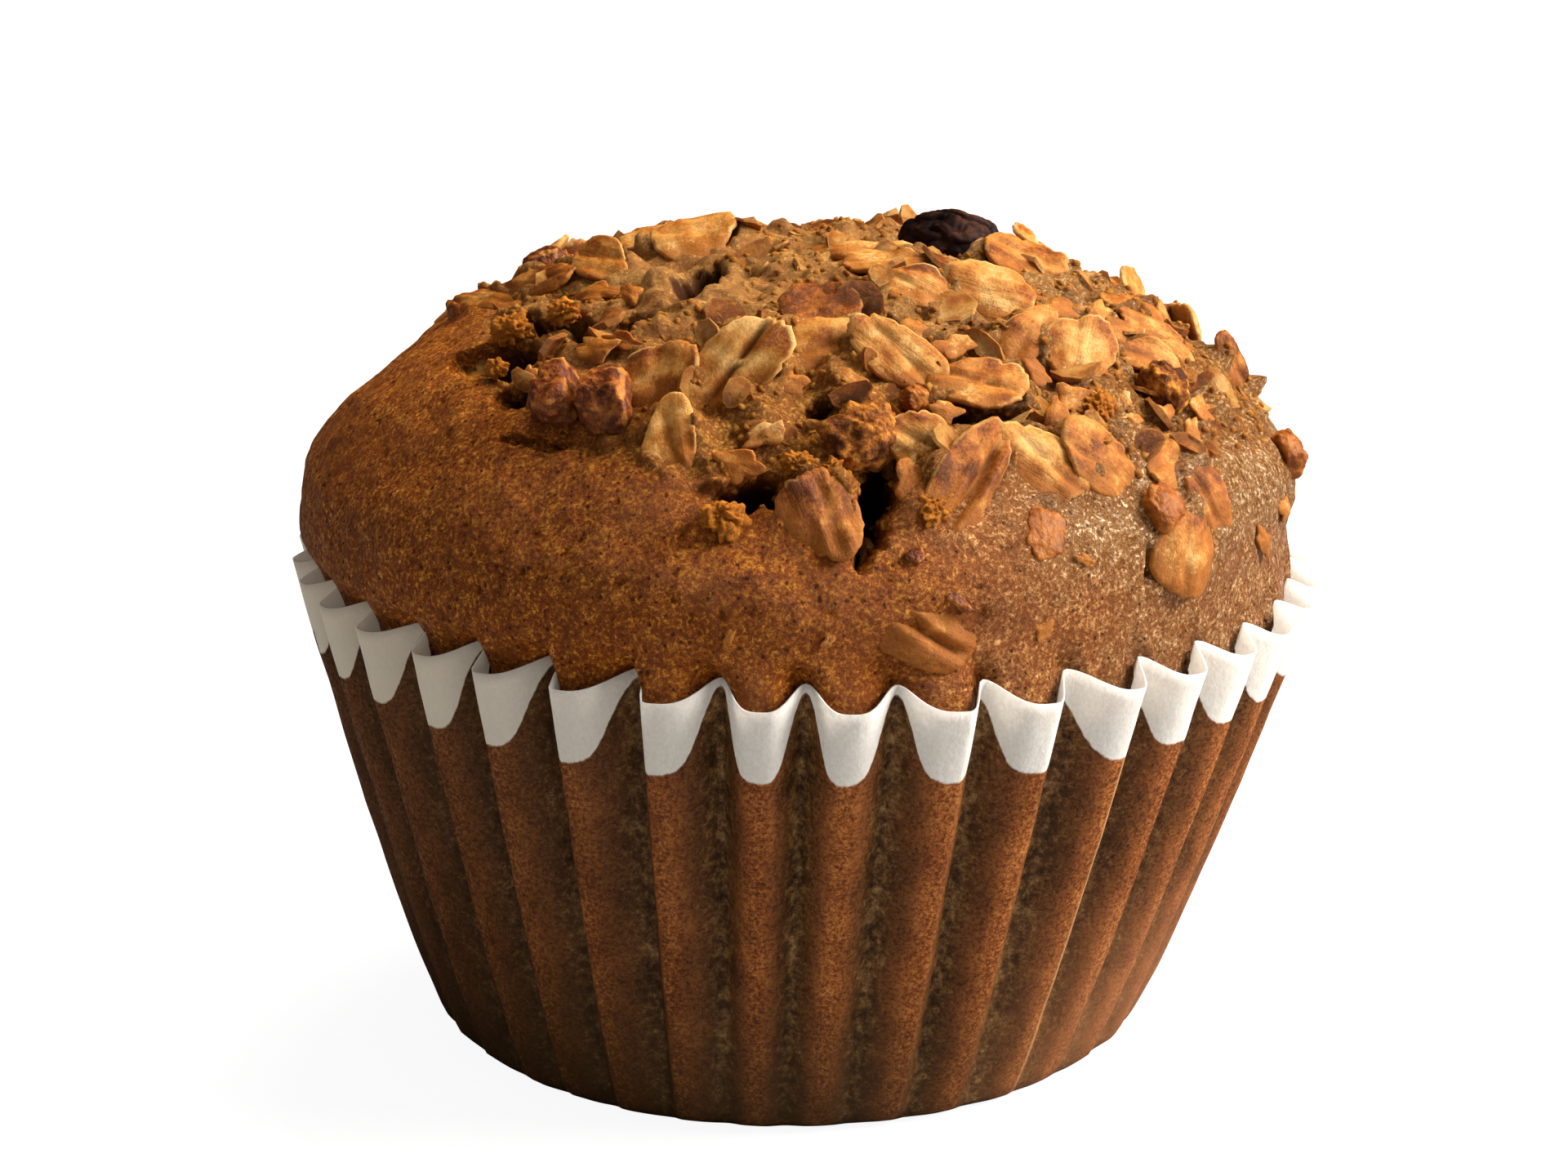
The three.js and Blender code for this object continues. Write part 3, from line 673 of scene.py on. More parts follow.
def paper_finish():
    """White greaseproof paper; where it lay against the cake the fat and the crumb show through, with
    painted shade on its left side, in its folds and low at the front, painted highlights on the fold
    crests and painted light on its lower right.
    """
    finish = Finish("case_paper", specular=0.12, reach=(1.0, 0.9, 0.8))
    phase, cover, drop, crest, side = finish.attributes("phase", "cover", "drop", "crest", "side")
    grain = finish.grain(0.26, 0.8)
    felt = finish.noise(0.24, 3.0, 0.7, 0.7)
    cloudy = finish.noise(3.2, 3.0, 0.6)
    fibres = finish.noise(0.55, 4.0, 0.8, 0.8)
    streaks = finish.noise(1.8, 3.0, 0.6, 0.22)
    reach = finish.curve(cover, (0.0, 0.99), (0.26, 0.97), (0.4, 0.9), (0.52, 0.74), (0.62, 0.54),
                         (0.71, 0.34), (0.81, 0.17), (0.91, 0.07), (1.0, 0.05))
    base = side.step(0.05, 0.5) * 0.2 + 0.06
    tongue = (base + reach * (1.0 - base)) * TONGUE_DEPTH + (cloudy - 0.5) * 0.7 + (felt - 0.5) * 0.2
    dry = (tongue - drop).step(-0.12, 0.1)
    white = finish.ramp(felt, (0.3, 0.64, 0.585, 0.505), (0.7, 0.76, 0.7, 0.62))
    # Painted shade: the white paper is greyed on the left, away from the lamps.
    white = finish.mix(side.step(-0.05, -0.85) * 0.8, white, (0.545, 0.448, 0.325))
    patchy = (cloudy - 0.5) * 0.7 + (streaks - 0.5) * 0.9
    ridge = finish.ramp(grain * 0.84 + patchy * 0.5 + 0.06, (0.0, 0.06, 0.013, 0.0026),
                        (0.5, 0.21, 0.054, 0.009), (1.0, 0.48, 0.19, 0.042))
    between = finish.ramp(grain * 0.9 + patchy * 0.7 + 0.05, (0.0, 0.03, 0.009, 0.002),
                          (1.0, 0.2, 0.068, 0.015))
    valley = finish.ramp(fibres + patchy * 0.3, (0.34, 0.024, 0.009, 0.0025),
                         (0.48, 0.084, 0.036, 0.01), (0.6, 0.185, 0.094, 0.03),
                         (0.72, 0.33, 0.195, 0.076))
    inward = phase - patchy * 0.3 + (grain - 0.5) * 0.3
    unlit = 0.82 - fibres * 0.4 - grain * 0.24
    front = 1.0 - side.step(0.1, 0.7)
    # Over the stain: from ridge to valley it goes darker, partly its own colour and partly painted shade
    # in the folds; painted highlights on the fold crests; painted shade on the left side and towards the
    # bottom at the front; painted light, warmer and lighter, on the lower right.
    stained_and_shaded = ridge
    for share, shade in (
        (inward.step(0.08, 0.6), between),
        (inward.step(0.5, 0.9), valley),
        (crest * 0.75, (0.5, 0.3, 0.13)),
        (side.step(0.05, -0.75) * unlit, (0.032, 0.014, 0.0032)),
        (drop.step(20.0, 36.0) * front * unlit * 1.3, (0.05, 0.025, 0.0085)),
        (drop.step(14.0, 34.0) * side.step(0.3, 0.85) * 0.38, (0.38, 0.16, 0.07)),
    ):
        stained_and_shaded = finish.mix(share, stained_and_shaded, shade)
    # Painted highlight: the fold crests are lighter on the white paper too.
    edged = finish.mix(crest * 0.3, white, (0.7, 0.68, 0.5))
    finish.dress({"Subsurface Weight": dry * 0.5})
    return finish.done(finish.mix(dry, stained_and_shaded, edged), 0.55 + dry * 0.25, (cloudy, 0.16),
                       (streaks, 0.1), (fibres, 0.05), (felt, 0.03))


# ---- The crown's smooth form, and seats for what lies on it

def crown_profile(swing):
    """Radius and height; swing is 0 at the widest ring and a quarter turn at the top."""
    return (CROWN_RADIUS * np.cos(swing) ** (2 / CROWN_ACROSS),
            CROWN_BASE + CROWN_RISE * np.sin(swing) ** (2 / CROWN_UP))


def rim_tuck(height):
    return RIM_TUCK * (1 - smooth((np.asarray(height) - CROWN_BASE) / 5.5))


def crown_shift(height):
    return np.interp(height, *CROWN_DRIFT)


def crown_height(x, y):
    height = CROWN_BASE
    for _ in range(12):
        radius = math.hypot(x - crown_shift(height), y)
        share = min(radius / CROWN_RADIUS, 1) ** CROWN_ACROSS
        height = CROWN_BASE + CROWN_RISE * (1 - share) ** (1 / CROWN_UP)
    return height


def crown_seat(azimuth, reach):
    """Where a thing sits on the crown, and the directions around, uphill and out there."""
    x, y, _ = polar(azimuth, reach, 0)
    at = np.array([x, y, crown_height(x, y)])
    step = 0.4
    inner = polar(azimuth, reach - step, 0)
    rise = min((crown_height(inner[0], inner[1]) - at[2]) / step, 6)
    around = polar(azimuth + 90, 1, 0)
    uphill = unit(polar(azimuth, -1, rise))
    return at, around, uphill, np.cross(around, uphill)


def crust_seat(azimuth, reach):
    """The same, on the crust as it is drawn in near the rim."""
    at, around, uphill, out = crown_seat(azimuth, reach)
    return at - polar(azimuth, 1, 0) * rim_tuck(at[2]), around, uphill, out


def azimuth_of(points):
    return np.degrees(np.arctan2(points[:, 0], -points[:, 1]))


def crag_share(points):
    """0 where the crust is whole and even, 1 where it is torn."""
    reach = np.hypot(points[:, 0], points[:, 1])
    edge = np.interp(azimuth_of(points), *CRAG_EDGE)
    return smooth((edge - reach + 1.2 * noise(points, 5, 31) + 0.6) / 2.6)


def hollow_depth(points):
    """Depth of the holes and cracks under each point, with ragged edges."""
    ragged = np.stack([noise(points, 1.7, s) * 0.3 + noise(points, 0.8, s + 2) * 0.18
                       for s in (41, 42)], -1)
    deepest = np.zeros(len(points))
    for azimuth, reach, length, width, turn, depth in HOLLOWS:
        at, around, uphill, _ = crust_seat(azimuth, reach)
        u, v = (points - at) @ around, (points - at) @ uphill
        c, s = math.cos(math.radians(turn)), math.sin(math.radians(turn))
        along = (u * c + v * s) / length + ragged[:, 0]
        across = (v * c - u * s) / width + ragged[:, 1]
        near = np.linalg.norm(points - at, axis=1) < length + width + 4
        dip = depth * (1 - smooth((np.hypot(along, across) - 0.45) / 0.65))
        deepest = np.where(near, np.maximum(deepest, dip), deepest)
    return deepest


def swell(p, crag):
    """The slow waves of the crown, the same ones as in the solid."""
    x, y, z = p.T
    wide = np.sin(0.31 * x + 0.9) * np.sin(0.27 * y + 2.2 + 0.1 * z)
    middle = np.sin(0.83 * x + 0.35 * y + 0.4) * np.sin(0.71 * y - 0.5 * z)
    return 0.35 * wide + crag * 0.4 * middle


# ---- The pleated wall, worked out in numbers for the cake's side and in Terms for the paper's tree

def pleat_table(turns, *waves):
    """Each pleat's own value, from waves (height, step, start), eased into its neighbour's."""
    first = np.floor(turns)
    here, following = (sum(height * np.sin(step * (i % PLEATS) + start)
                           for height, step, start in waves) for i in (first, first + 1))
    return blend(here, following, smooth(turns - first))


def pleat(size, azimuth):
    """The phase (0 at an outer fold, -1 and 1 at the inner ones beside it), the wave (1 and 0
    there), the pleat's own share of depth, and how far it is on the left and on the right side."""
    turns = (azimuth - FIRST_FOLD) / PITCH
    facing = (azimuth + 180) % 360 - 180  # each side goes from beside the front to well round the back
    left = smooth((-3 - facing) / 16) * smooth((125 + facing) / 30)
    right = smooth((facing - 4) / 16) * smooth((125 - facing) / 30)
    skew = size["Skew right"] * right - size["Skew left"] * left
    under = size["Left under"] * left
    shift = pleat_table(turns, (0.05, 1.7, 0.5), (0.04, 3.1, 2))
    offset = (turns - shift - under + 0.5) % 1 - 0.5 + under - skew
    phase = offset / (0.5 + (skew - under) * (1 - 2.0 * (offset > 0)))
    wave = (1 - smooth(np.abs(phase) ** size["Face power"])) * (1 - 0.12 * phase * phase)
    return phase, wave, 1 + pleat_table(turns, (0.1, 2.3, 1), (0.08, 5.1, 0)), left, right


def wall(size, azimuth, share, across=1.0, crumple=None):
    """Radius and height at a share of the wall; across is 0 at the floor's middle, 1 at its edge."""
    _, wave, depth_share, left, _ = pleat(size, azimuth)
    height = share * (size["Rim height"] - size["Rim drop"] * wave)
    growth = height / size["Rim height"]
    depth = blend(size["Foot pleat depth"], size["Rim pleat depth"], growth ** 0.7) * depth_share
    depth = depth * (1 + size["Left deeper"] * left * growth * growth)
    radius = size["Foot radius"] + size["Rim flare"] * growth ** 0.85 - depth * (1 - wave)
    if crumple:
        radius = radius + crumple(height)
    foot = 1 - clamp(height / size["Foot height"])
    return blend(size["Floor radius"] * across, radius, np.sqrt(1 - foot * foot)), height


def settled(size, azimuth, radius, height):
    """Its place once the cup leans a little and its rim is tilted."""
    angle = np.radians(azimuth)
    x, y = radius * np.sin(angle), radius * np.cos(angle) * -1
    return x + size["Lean"] * height, y, height - size["Rim tilt"] * x * height / size["Rim height"]


def wall_points(azimuth, share, inset):
    """Points on the inside of the wall, inset from its outer face."""
    radius, height = wall(CUP_SIZES, azimuth, share)
    return np.stack(settled(CUP_SIZES, azimuth, radius - inset, height), -1)


# ---- The cake

def crust_rings():
    """The rings of the cake's skin from its bottom up: (azimuths, points, directions out)."""
    rings = []

    def add(azimuths, points, tilt):
        rings.append((azimuths, points, polar(azimuths, math.cos(tilt), math.sin(tilt))))

    inset = PAPER_THICKNESS + CAKE_INSET
    coarse = np.linspace(0, 360, PLEATS * 10, endpoint=False)
    add(coarse, polar(coarse, CAKE_FLOOR_RADIUS, CAKE_FLOOR_HEIGHT), -1.2)
    for share in (0.06, 0.3, 0.6, 0.8, 0.9):
        add(coarse, wall_points(coarse, share, inset), 0.0)
    fine = np.linspace(0, 360, PLEATS * 20, endpoint=False)
    round_edge = polar(fine, CROWN_RADIUS - RIM_TUCK, CROWN_BASE)
    round_edge[:, 0] += crown_shift(CROWN_BASE)
    _, wave, *_ = pleat(CUP_SIZES, fine)
    aside = smooth((np.abs(np.sin(np.radians(fine))) - 0.25) / 0.4)
    drawn_back = 1.3 * aside * smooth((wave - 0.45) / 0.4)
    for share, back in ((0.92, 0.3), (0.945, 0.8), (0.96, 1), (0.975, 1)):
        add(fine, wall_points(fine, share, inset + back * drawn_back), 0.0)
    top = rings[-1][1]
    for step in (0.15, 0.3, 0.45, 0.6, 0.8):
        level = step ** 1.5
        add(fine, blend(top, round_edge, np.array([level, level, step])), 0.2 * step - 0.2)
    # The crown's rings are evenly spaced along its profile, and evenly filled round it.
    swings = np.linspace(0, math.pi / 2, 4000)
    radius, height = crown_profile(swings)
    run = np.concatenate([[0], np.cumsum(np.hypot(np.diff(radius), np.diff(height)))])
    steps = int(run[-1] / CRUST_SPACING)
    for swing in np.interp(np.linspace(0, run[-1], steps, endpoint=False), run, swings):
        radius, height = crown_profile(swing)
        radius -= rim_tuck(height)
        count = max(8, round(2 * math.pi * radius / CRUST_SPACING))
        azimuths = np.linspace(0, 360, count, endpoint=False)
        points = polar(azimuths, radius, height)
        points[:, 0] += crown_shift(height)
        add(azimuths, points, swing)
    return rings


def stitch(rings):
    """Triangles between each ring and the next, which may have different counts."""
    faces, start = [], 0
    for (lower, _, _), (upper, _, _) in zip(rings, rings[1:]):
        n, m = len(lower), len(upper)
        low, high = np.append(lower, 360.0), np.append(upper, 360.0)
        i = j = 0
        while i < n or j < m:
            if j >= m or (i < n and low[i + 1] <= high[j + 1]):
                faces.append((start + i, start + (i + 1) % n, start + n + j % m))
                i += 1
            else:
                faces.append((start + i % n, start + n + (j + 1) % m, start + n + j))
                j += 1
        start += n
    return faces


def bedding(points, out):
    """How far the crust climbs round the flakes so that their rims are set in it."""
    climb = np.zeros(len(points))
    patchy = smooth(noise(points, 2.0, 21) * 0.9 + 0.75)
    for oat in all_oats():
        length, width = oat[2], oat[3]
        centre, axes = oat_place(oat)
        near = np.linalg.norm(points - centre, axis=1) < length / 2 + 3
        local = (points[near] - centre) @ axes.T
        reach = np.hypot(local[:, 0] / (length / 2), local[:, 1] / (width / 2))
        around = smooth((reach - 0.55) / 0.35) * (1 - smooth((reach - 1.0) / 0.5))
        gap = -(local[:, 2] + draped(oat, points[near])) / np.maximum(out[near] @ axes[2], 0.35)
        over = 0.12 + 0.5 * smooth(noise(points[near], 1.9, 23) * 1.2 + 0.2)
        wanted = np.clip(gap + over, 0, 1.7) * (1 - smooth((gap - 1.2) / 1.6))
        climb[near] = np.maximum(climb[near], wanted * around * patchy[near])
    return climb


def make_crust(material):
    rings = crust_rings()
    faces = stitch(rings)
    points = np.concatenate([r[1] for r in rings])
    out = np.concatenate([r[2] for r in rings])
    first, last = len(rings[0][0]), len(rings[-1][0])
    faces.append(tuple(reversed(range(first))))
    faces.append(tuple(range(len(points) - last, len(points))))

    fade = smooth((points[:, 2] - CROWN_BASE) / 3)
    crag = crag_share(points) * fade
    whole = fade * (1 - crag)
    # Torn crust has lumps and grit, whole crust has dimples and pits.
    lumps = 0.8 * crumble(points, 4.6, 3) + 0.4 * crumble(points, 2.3, 4)
    grit = 0.2 * crumble(points, 1.2, 5) + 0.09 * noise(points, 0.7, 6)
    dimples = 0.17 * noise(points, 2.6, 7) + 0.1 * noise(points, 1.2, 8)
    dimples += 0.25 * noise(points * (1, 1, 1.6), 8.0, 16)
    holes = nearest_seed(points, 1.5, 9)
    pits = 0.22 * smooth((0.22 - holes) / 0.12)
    hollow = hollow_depth(points)
    relief = swell(points, crag) * fade + crag * (lumps + grit) + whole * (dimples - pits)
    relief += (1 - fade) * 0.05 * noise(points, 1.1, 10) * (points[:, 2] > 33)
    rugged = smooth(hollow / 0.6) * fade
    relief += fade * (rugged * (0.75 * crumble(points, 1.8, 11) + 0.32 * crumble(points, 0.9, 12))
                      - hollow)
    # Torn crust and the edges of holes are pushed aside too, so that some parts overhang.
    push = wander(points, 1.5, 13)
    relief += fade * bedding(points, out)
    moved = points + out * relief[:, None] + push * (0.35 * np.maximum(crag, rugged) * fade)[:, None]
    lofty = smooth((points[:, 2] - 50) / 6)
    # Painted shade: this mask darkens the holes and cracks, the low parts of torn crust and the pits.
    recess = clamp(hollow / (2.6 - 1.8 * lofty)) ** 1.3
    recess += crag * clamp(-(lumps + grit) * 1.1 - 0.22)
    recess += whole * pits * 2.2
    # Painted sheen: the crust is painted paler towards the right, where the window lamp's sheen falls,
    # and more so above the rim.
    golden = smooth((points[:, 0] - 3 + 5 * noise(points, 7, 17)) / 22)
    golden = golden * (0.66 + 0.34 * smooth((points[:, 2] - 37) / 5))
    crumbly = clamp(crag + 0.6 * rugged) * (hollow < 1.7)
    for azimuth, reach, radius in BARE:
        away = np.linalg.norm(points - crown_seat(azimuth, reach)[0], axis=1)
        crumbly = crumbly * smooth((away - radius) / 0.6)
    return new_piece("muffin_crust", moved, faces, material, crag=crag, recess=clamp(recess),
                     crumbly=crumbly, golden=golden, lofty=lofty)


# ---- Rolled oats

def oat_flake(length, width, character, crease, dice):
    """A flake lying in its own XY plane: points, faces, and how near the rim and the crease."""
    small = length < SMALL_FLAKE
    spokes, rows = (28, 6) if small else (56, 11)
    a = np.linspace(0, 2 * np.pi, spokes, endpoint=False)
    uneven = 1 + 0.1 * np.sin(2 * a + character) + 0.08 * np.sin(3 * a - 2 * character)
    for _ in range(dice.randint(1, 4)):  # nicks in the rim
        gap = np.abs((a - dice.uniform(0, 2 * np.pi) + np.pi) % (2 * np.pi) - np.pi)
        uneven = uneven * (1 - dice.uniform(0.04, 0.15) * np.exp(-(gap / dice.uniform(0.05, 0.11)) ** 2))
    uneven = uneven * (1 + 0.02 * dice.normal(size=spokes))
    if small:
        uneven = uneven * (1 + 0.16 * np.sin(4 * a + 3 * character) + 0.08 * np.sin(7 * a))
    shares = 1 - (1 - np.linspace(0, 1, rows + 1)[1:]) ** 1.5
    x = (length / 2) * np.outer(shares, uneven * np.sin(a))
    y = -(width / 2) * np.outer(shares, uneven * np.cos(a))
    share = np.repeat(shares[:, None], spokes, 1)
    warp = min(length / 6, 1) * (0.35 * math.sin(character) * (x / length) ** 2 * 4
                                 + 0.35 * math.cos(1.7 * character) * (y / width) ** 2 * 4
                                 + 0.14 * share ** 2 * np.sin(2 * a + 2 * character)
                                 + 0.08 * share ** 3 * np.sin(5 * a + character))
    body = np.stack([x, y, np.full_like(x, character * 3)], -1).reshape(-1, 3)
    ribs = noise(body * (0.3, 1.6, 1), 0.8, 51).reshape(x.shape) * 0.11
    ribs += noise(body, 1.5, 52).reshape(x.shape) * 0.16
    half = min(OAT_THICKNESS * 0.8, 0.16 * width) * 0.5 * (1 - 0.6 * share ** 9)
    # A crease along the middle, with a low ridge on either side of it.
    line = y - 0.12 * width * np.sin(2.2 * x / length + character)
    cleft = np.exp(-(line / 0.27) ** 2) * smooth((0.9 - np.abs(x) / (length / 2)) / 0.35)
    groove = crease * 0.75 * cleft - crease * 0.3 * np.exp(-((np.abs(line) - 0.75) / 0.35) ** 2)
    top = np.stack([x, y, warp + half + 0.1 * (1 - share ** 2) + ribs - groove], -1)
    low = np.stack([x, y, warp - half + 0.5 * ribs], -1)
    # The rim is one row that both faces share.
    top[-1, :, 2] = low[-1, :, 2] = (top[-1, :, 2] + low[-1, :, 2]) / 2
    middle = np.array([[0, 0, half[0, 0] + 0.1], [0, 0, -half[0, 0]]])
    points = np.concatenate([top.reshape(-1, 3), low[:-1].reshape(-1, 3), middle])
    faces = []
    n = spokes
    top_id = lambda r, k: r * n + k % n
    low_id = lambda r, k: r * n + k % n if r == rows - 1 else (rows + r) * n + k % n
    for k in range(n):
        for r in range(rows - 1):
            faces.append((top_id(r, k), top_id(r + 1, k), top_id(r + 1, k + 1), top_id(r, k + 1)))
            faces.append((low_id(r, k), low_id(r, k + 1), low_id(r + 1, k + 1), low_id(r + 1, k)))
        faces.append((len(points) - 2, top_id(0, k), top_id(0, k + 1)))
        faces.append((len(points) - 1, low_id(0, k + 1), low_id(0, k)))
    edge = np.concatenate([share.ravel(), share[:-1].ravel(), [0, 0]])
    creased = np.concatenate([(cleft * min(crease * 1.6, 1)).ravel(), 0 * share[:-1].ravel(), [0, 0]])
    return points, faces, edge, creased, points[:, 0] + 11 * character, points[:, 1]


def random_draws(state):
    """The same draws as the solid's own generator."""
    word = 0xFFFFFFFF
    while True:
        state = (state + 0x6D2B79F5) & word
        t = (state ^ (state >> 15)) * (1 | state) & word
        t = (t + (t ^ (t >> 7)) * (61 | t)) & word ^ t
        yield (t ^ (t >> 14)) / 4294967296


def scattered_oats():
    """Oats for the back by the rule in SCATTER: a candidate too near another is passed over."""
    draws = random_draws(SCATTER["seed"])
    between = lambda low, high: blend(low, high, next(draws))
    taken = [crown_seat(oat[0], oat[1])[0] for oat in LARGE_OATS]
    oats = []
    while len(oats) < SCATTER["count"]:
        azimuth = between(SCATTER["from"], SCATTER["to"])
        reach = blend(SCATTER["innermost"], SCATTER["outermost"], math.sqrt(next(draws)))
        at, _, _, out = crown_seat(azimuth, reach)
        length = between(*SCATTER["length"])
        if any(np.linalg.norm(t - at) < SCATTER["nearest"] for t in taken):
            continue
        taken.append(at)
        slope = math.degrees(math.asin(out[2]))
        lean = between(*SCATTER["lean"]) * float(smooth((reach - SCATTER["flat_within"]) / 12))
        elevation = max(slope - lean, SCATTER["lowest"])
        face = azimuth + between(*SCATTER["aside"])
        width = length * between(*SCATTER["slimness"])
        roll = between(*SCATTER["roll"])
        tone = len(oats) * 0.37 % 1 * SCATTER["brownest"]
        crease = 0.1 + 0.5 * (len(oats) * 0.61 % 1) ** 3
        oats.append((azimuth, reach, length, width, face, elevation, roll, tone, crease))
    return oats


def stance(face_azimuth, face_elevation, roll):
    """Axes of a flake: along, across and face, as rows."""
    elevation = math.radians(face_elevation)
    face = polar(face_azimuth, math.cos(elevation), math.sin(elevation))
    level = polar(face_azimuth + 90, 1, 0)
    r = math.radians(roll)
    along = level * math.cos(r) + np.cross(face, level) * math.sin(r)
    return np.stack([along, np.cross(face, along), face])


def all_oats():
    return LARGE_OATS + scattered_oats()


def oat_place(oat):
    """Centre and axes of a flake, lifted so that its lower edge is bedded in the crust."""
    azimuth, reach, length, width, face_azimuth, face_elevation, roll = oat[:7]
    at, _, _, out = crust_seat(azimuth, reach)
    axes = stance(face_azimuth, face_elevation, roll)
    facing = float(axes[2] @ out)
    uphill = out - axes[2] * facing
    size = np.linalg.norm(uphill)
    uphill = uphill / size if size > 1e-3 else axes[0]
    half_span = math.hypot(length / 2 * (uphill @ axes[0]), width / 2 * (uphill @ axes[1]))
    lift = OAT_BEDDING - OAT_SUNK + OAT_STANDING * half_span * math.sin(math.acos(min(facing, 1)))
    return at + out * lift, axes


def draped(oat, points):
    """How far a flake lying flat near the rim bends down to the crust at each point."""
    at, _, _, out = crust_seat(oat[0], oat[1])
    face = polar(oat[4], math.cos(math.radians(oat[5])), math.sin(math.radians(oat[5])))
    lying = smooth((oat[1] - 33) / 2.5) * smooth((face @ out - 0.9) / 0.08)
    return 0.05 * lying * np.minimum(np.sum((points - at) ** 2, axis=1), 12)


def make_oats(material):
    heap = Heap("tone", "edge", "crease", "along", "across", "glaze")
    dice = np.random.RandomState(11)
    for index, oat in enumerate(all_oats() + SMALL_BITS):
        azimuth, reach, length, width = oat[:4]
        tone, crease = oat[7], oat[8]
        centre, axes = oat_place(oat)
        points, faces, edge, creased, along, across = oat_flake(
            length, width, index * 2.4, crease, dice)
        points = points @ axes + centre
        at, _, _, out = crust_seat(azimuth, reach)
        points -= out * draped(oat, points)[:, None]
        above = (points - at) @ out + np.sum((points - at) ** 2, axis=1) / 70
        heap.add(points, faces, tone=tone, edge=edge, crease=creased, along=along, across=across,
                 glaze=1 - smooth((above + 0.1) / 1.5))
    return heap.piece("rolled_oats", material)


# ---- Lumps: nuts, clumps, fruit and the raisin

def ball(rows, columns):
    """A unit ball from rings, its poles closed, with faces outward."""
    lat = np.linspace(-np.pi / 2, np.pi / 2, rows + 1)[1:-1]
    lon = np.linspace(0, 2 * np.pi, columns, endpoint=False)
    la, lo = np.meshgrid(lat, lon, indexing="ij")
    points = np.stack([np.cos(la) * np.cos(lo), np.cos(la) * np.sin(lo), np.sin(la)], -1).reshape(-1, 3)
    points = np.concatenate([points, [[0, 0, -1], [0, 0, 1]]])
    at = lambda r, c: r * columns + c % columns
    faces = [(at(r, c), at(r, c + 1), at(r + 1, c + 1), at(r + 1, c))
             for r in range(rows - 2) for c in range(columns)]
    faces += [(len(points) - 2, at(0, c + 1), at(0, c)) for c in range(columns)]
    faces += [(len(points) - 1, at(rows - 2, c), at(rows - 2, c + 1)) for c in range(columns)]
    return points, faces


def lump_shape(radii, kind, character):
    """A lump with flattened sides; its tone is 0 inside a side and 1 along its corners."""
    points, faces = ball(38, 60)
    square, large, small, grit = LUMP_STYLE[kind]
    points = points / np.sum(np.abs(points) ** square, axis=1, keepdims=True) ** (1 / square)
    shift = np.array([character * 3.1, -character * 1.7, character])
    p = points * radii
    dice = np.random.RandomState(80 + character)
    for _ in range(5):
        normal = unit(dice.normal(size=3) * (1, 1, 0.6))
        over = np.maximum(p @ normal - np.linalg.norm(radii * normal) * 0.82, 0)
        p = p - 0.85 * over[:, None] * normal
    size = np.mean(radii)
    swollen = large * crumble(p + shift, size * 1.1, 61) + small * crumble(p + shift, size * 0.45, 62)
    swollen += grit * noise(p + shift, size * 0.22, 63)
    corner = np.sort(np.abs(points), axis=1)[:, 1]
    tone = smooth((corner - 0.52 + 0.22 * noise(p + shift, size * 0.6, 64)) / 0.34)
    return p * (1 + swollen)[:, None], faces, tone


def make_lumps(kind, name, material):
    heap = Heap("tone")
    for index, (this, azimuth, reach, length, width, height, turn) in enumerate(LUMPS):
        if this != kind:
            continue
        at, around, uphill, out = crust_seat(azimuth, reach)
        t = math.radians(turn)
        along = around * math.cos(t) + uphill * math.sin(t)
        axes = np.stack([along, np.cross(out, along), out])
        points, faces, tone = lump_shape(np.array([length, width, height]) / 2, kind, index)
        heap.add(points @ axes + at + out * 0.15 * height, faces, tone=tone)
    return heap.piece(name, material)


def make_raisin(material):
    points, faces = ball(90, 140)
    p = points * np.array([RAISIN["length"], RAISIN["width"], RAISIN["depth"]]) / 2
    bend = p + 0.5 * wander(p, 2.2, 71)
    creases = lambda at, size, seed: clamp(1 - np.abs(noise(at, size, seed)) * 1.6) ** 2
    folds = -0.34 * creases(bend * (0.55, 1, 1), 1.5, 74) - 0.1 * creases(bend, 0.75, 75)
    p = p * 1.03 + unit(points) * (folds + 0.08 + 0.12 * noise(p, 2.5, 76))[:, None]
    p[:, 2] -= 0.5 * smooth((points[:, 0] - 0.6) / 0.4)
    # Crest marks the fold ridges on the upper side, where the finish paints a highlight.
    crest = smooth((folds + 0.3) / 0.25) * smooth((points[:, 2] - 0.1) / 0.5)
    for i, j, degrees in ((2, 0, RAISIN["droop"]), (0, 1, RAISIN["turn"])):
        c, s = math.cos(math.radians(degrees)), math.sin(math.radians(degrees))
        p[:, i], p[:, j] = p[:, i] * c - p[:, j] * s, p[:, i] * s + p[:, j] * c
    p += polar(RAISIN["azimuth"], RAISIN["reach"], RAISIN["height"])
    return new_piece("raisin_skin", p, faces, material, crest=crest)


# ---- Pieces that repeat over the crust, by Geometry Nodes

def run_nodes(name, tree, source, values, material):
    """The plain mesh that a node tree makes from source, with its named inputs set."""
    maker = put_in_scene(name + "_maker", source)
    modifier = maker.modifiers.new("nodes", "NODES")
    modifier.node_group = tree
    sockets = {s.name: s.identifier for s in tree.interface.items_tree if s.in_out == "INPUT"}
    for label, value in {**values, "Material": material}.items():
        modifier[sockets[label]] = value
    piece = put_in_scene(name, plain_mesh(maker))
    piece.data.name = name
    bpy.data.objects.remove(maker)
    return piece


def plain_mesh(piece):
    """The mesh that a piece's modifiers make."""
    shown = bpy.context.evaluated_depsgraph_get()
    return bpy.data.meshes.new_from_object(piece.evaluated_get(shown), depsgraph=shown)


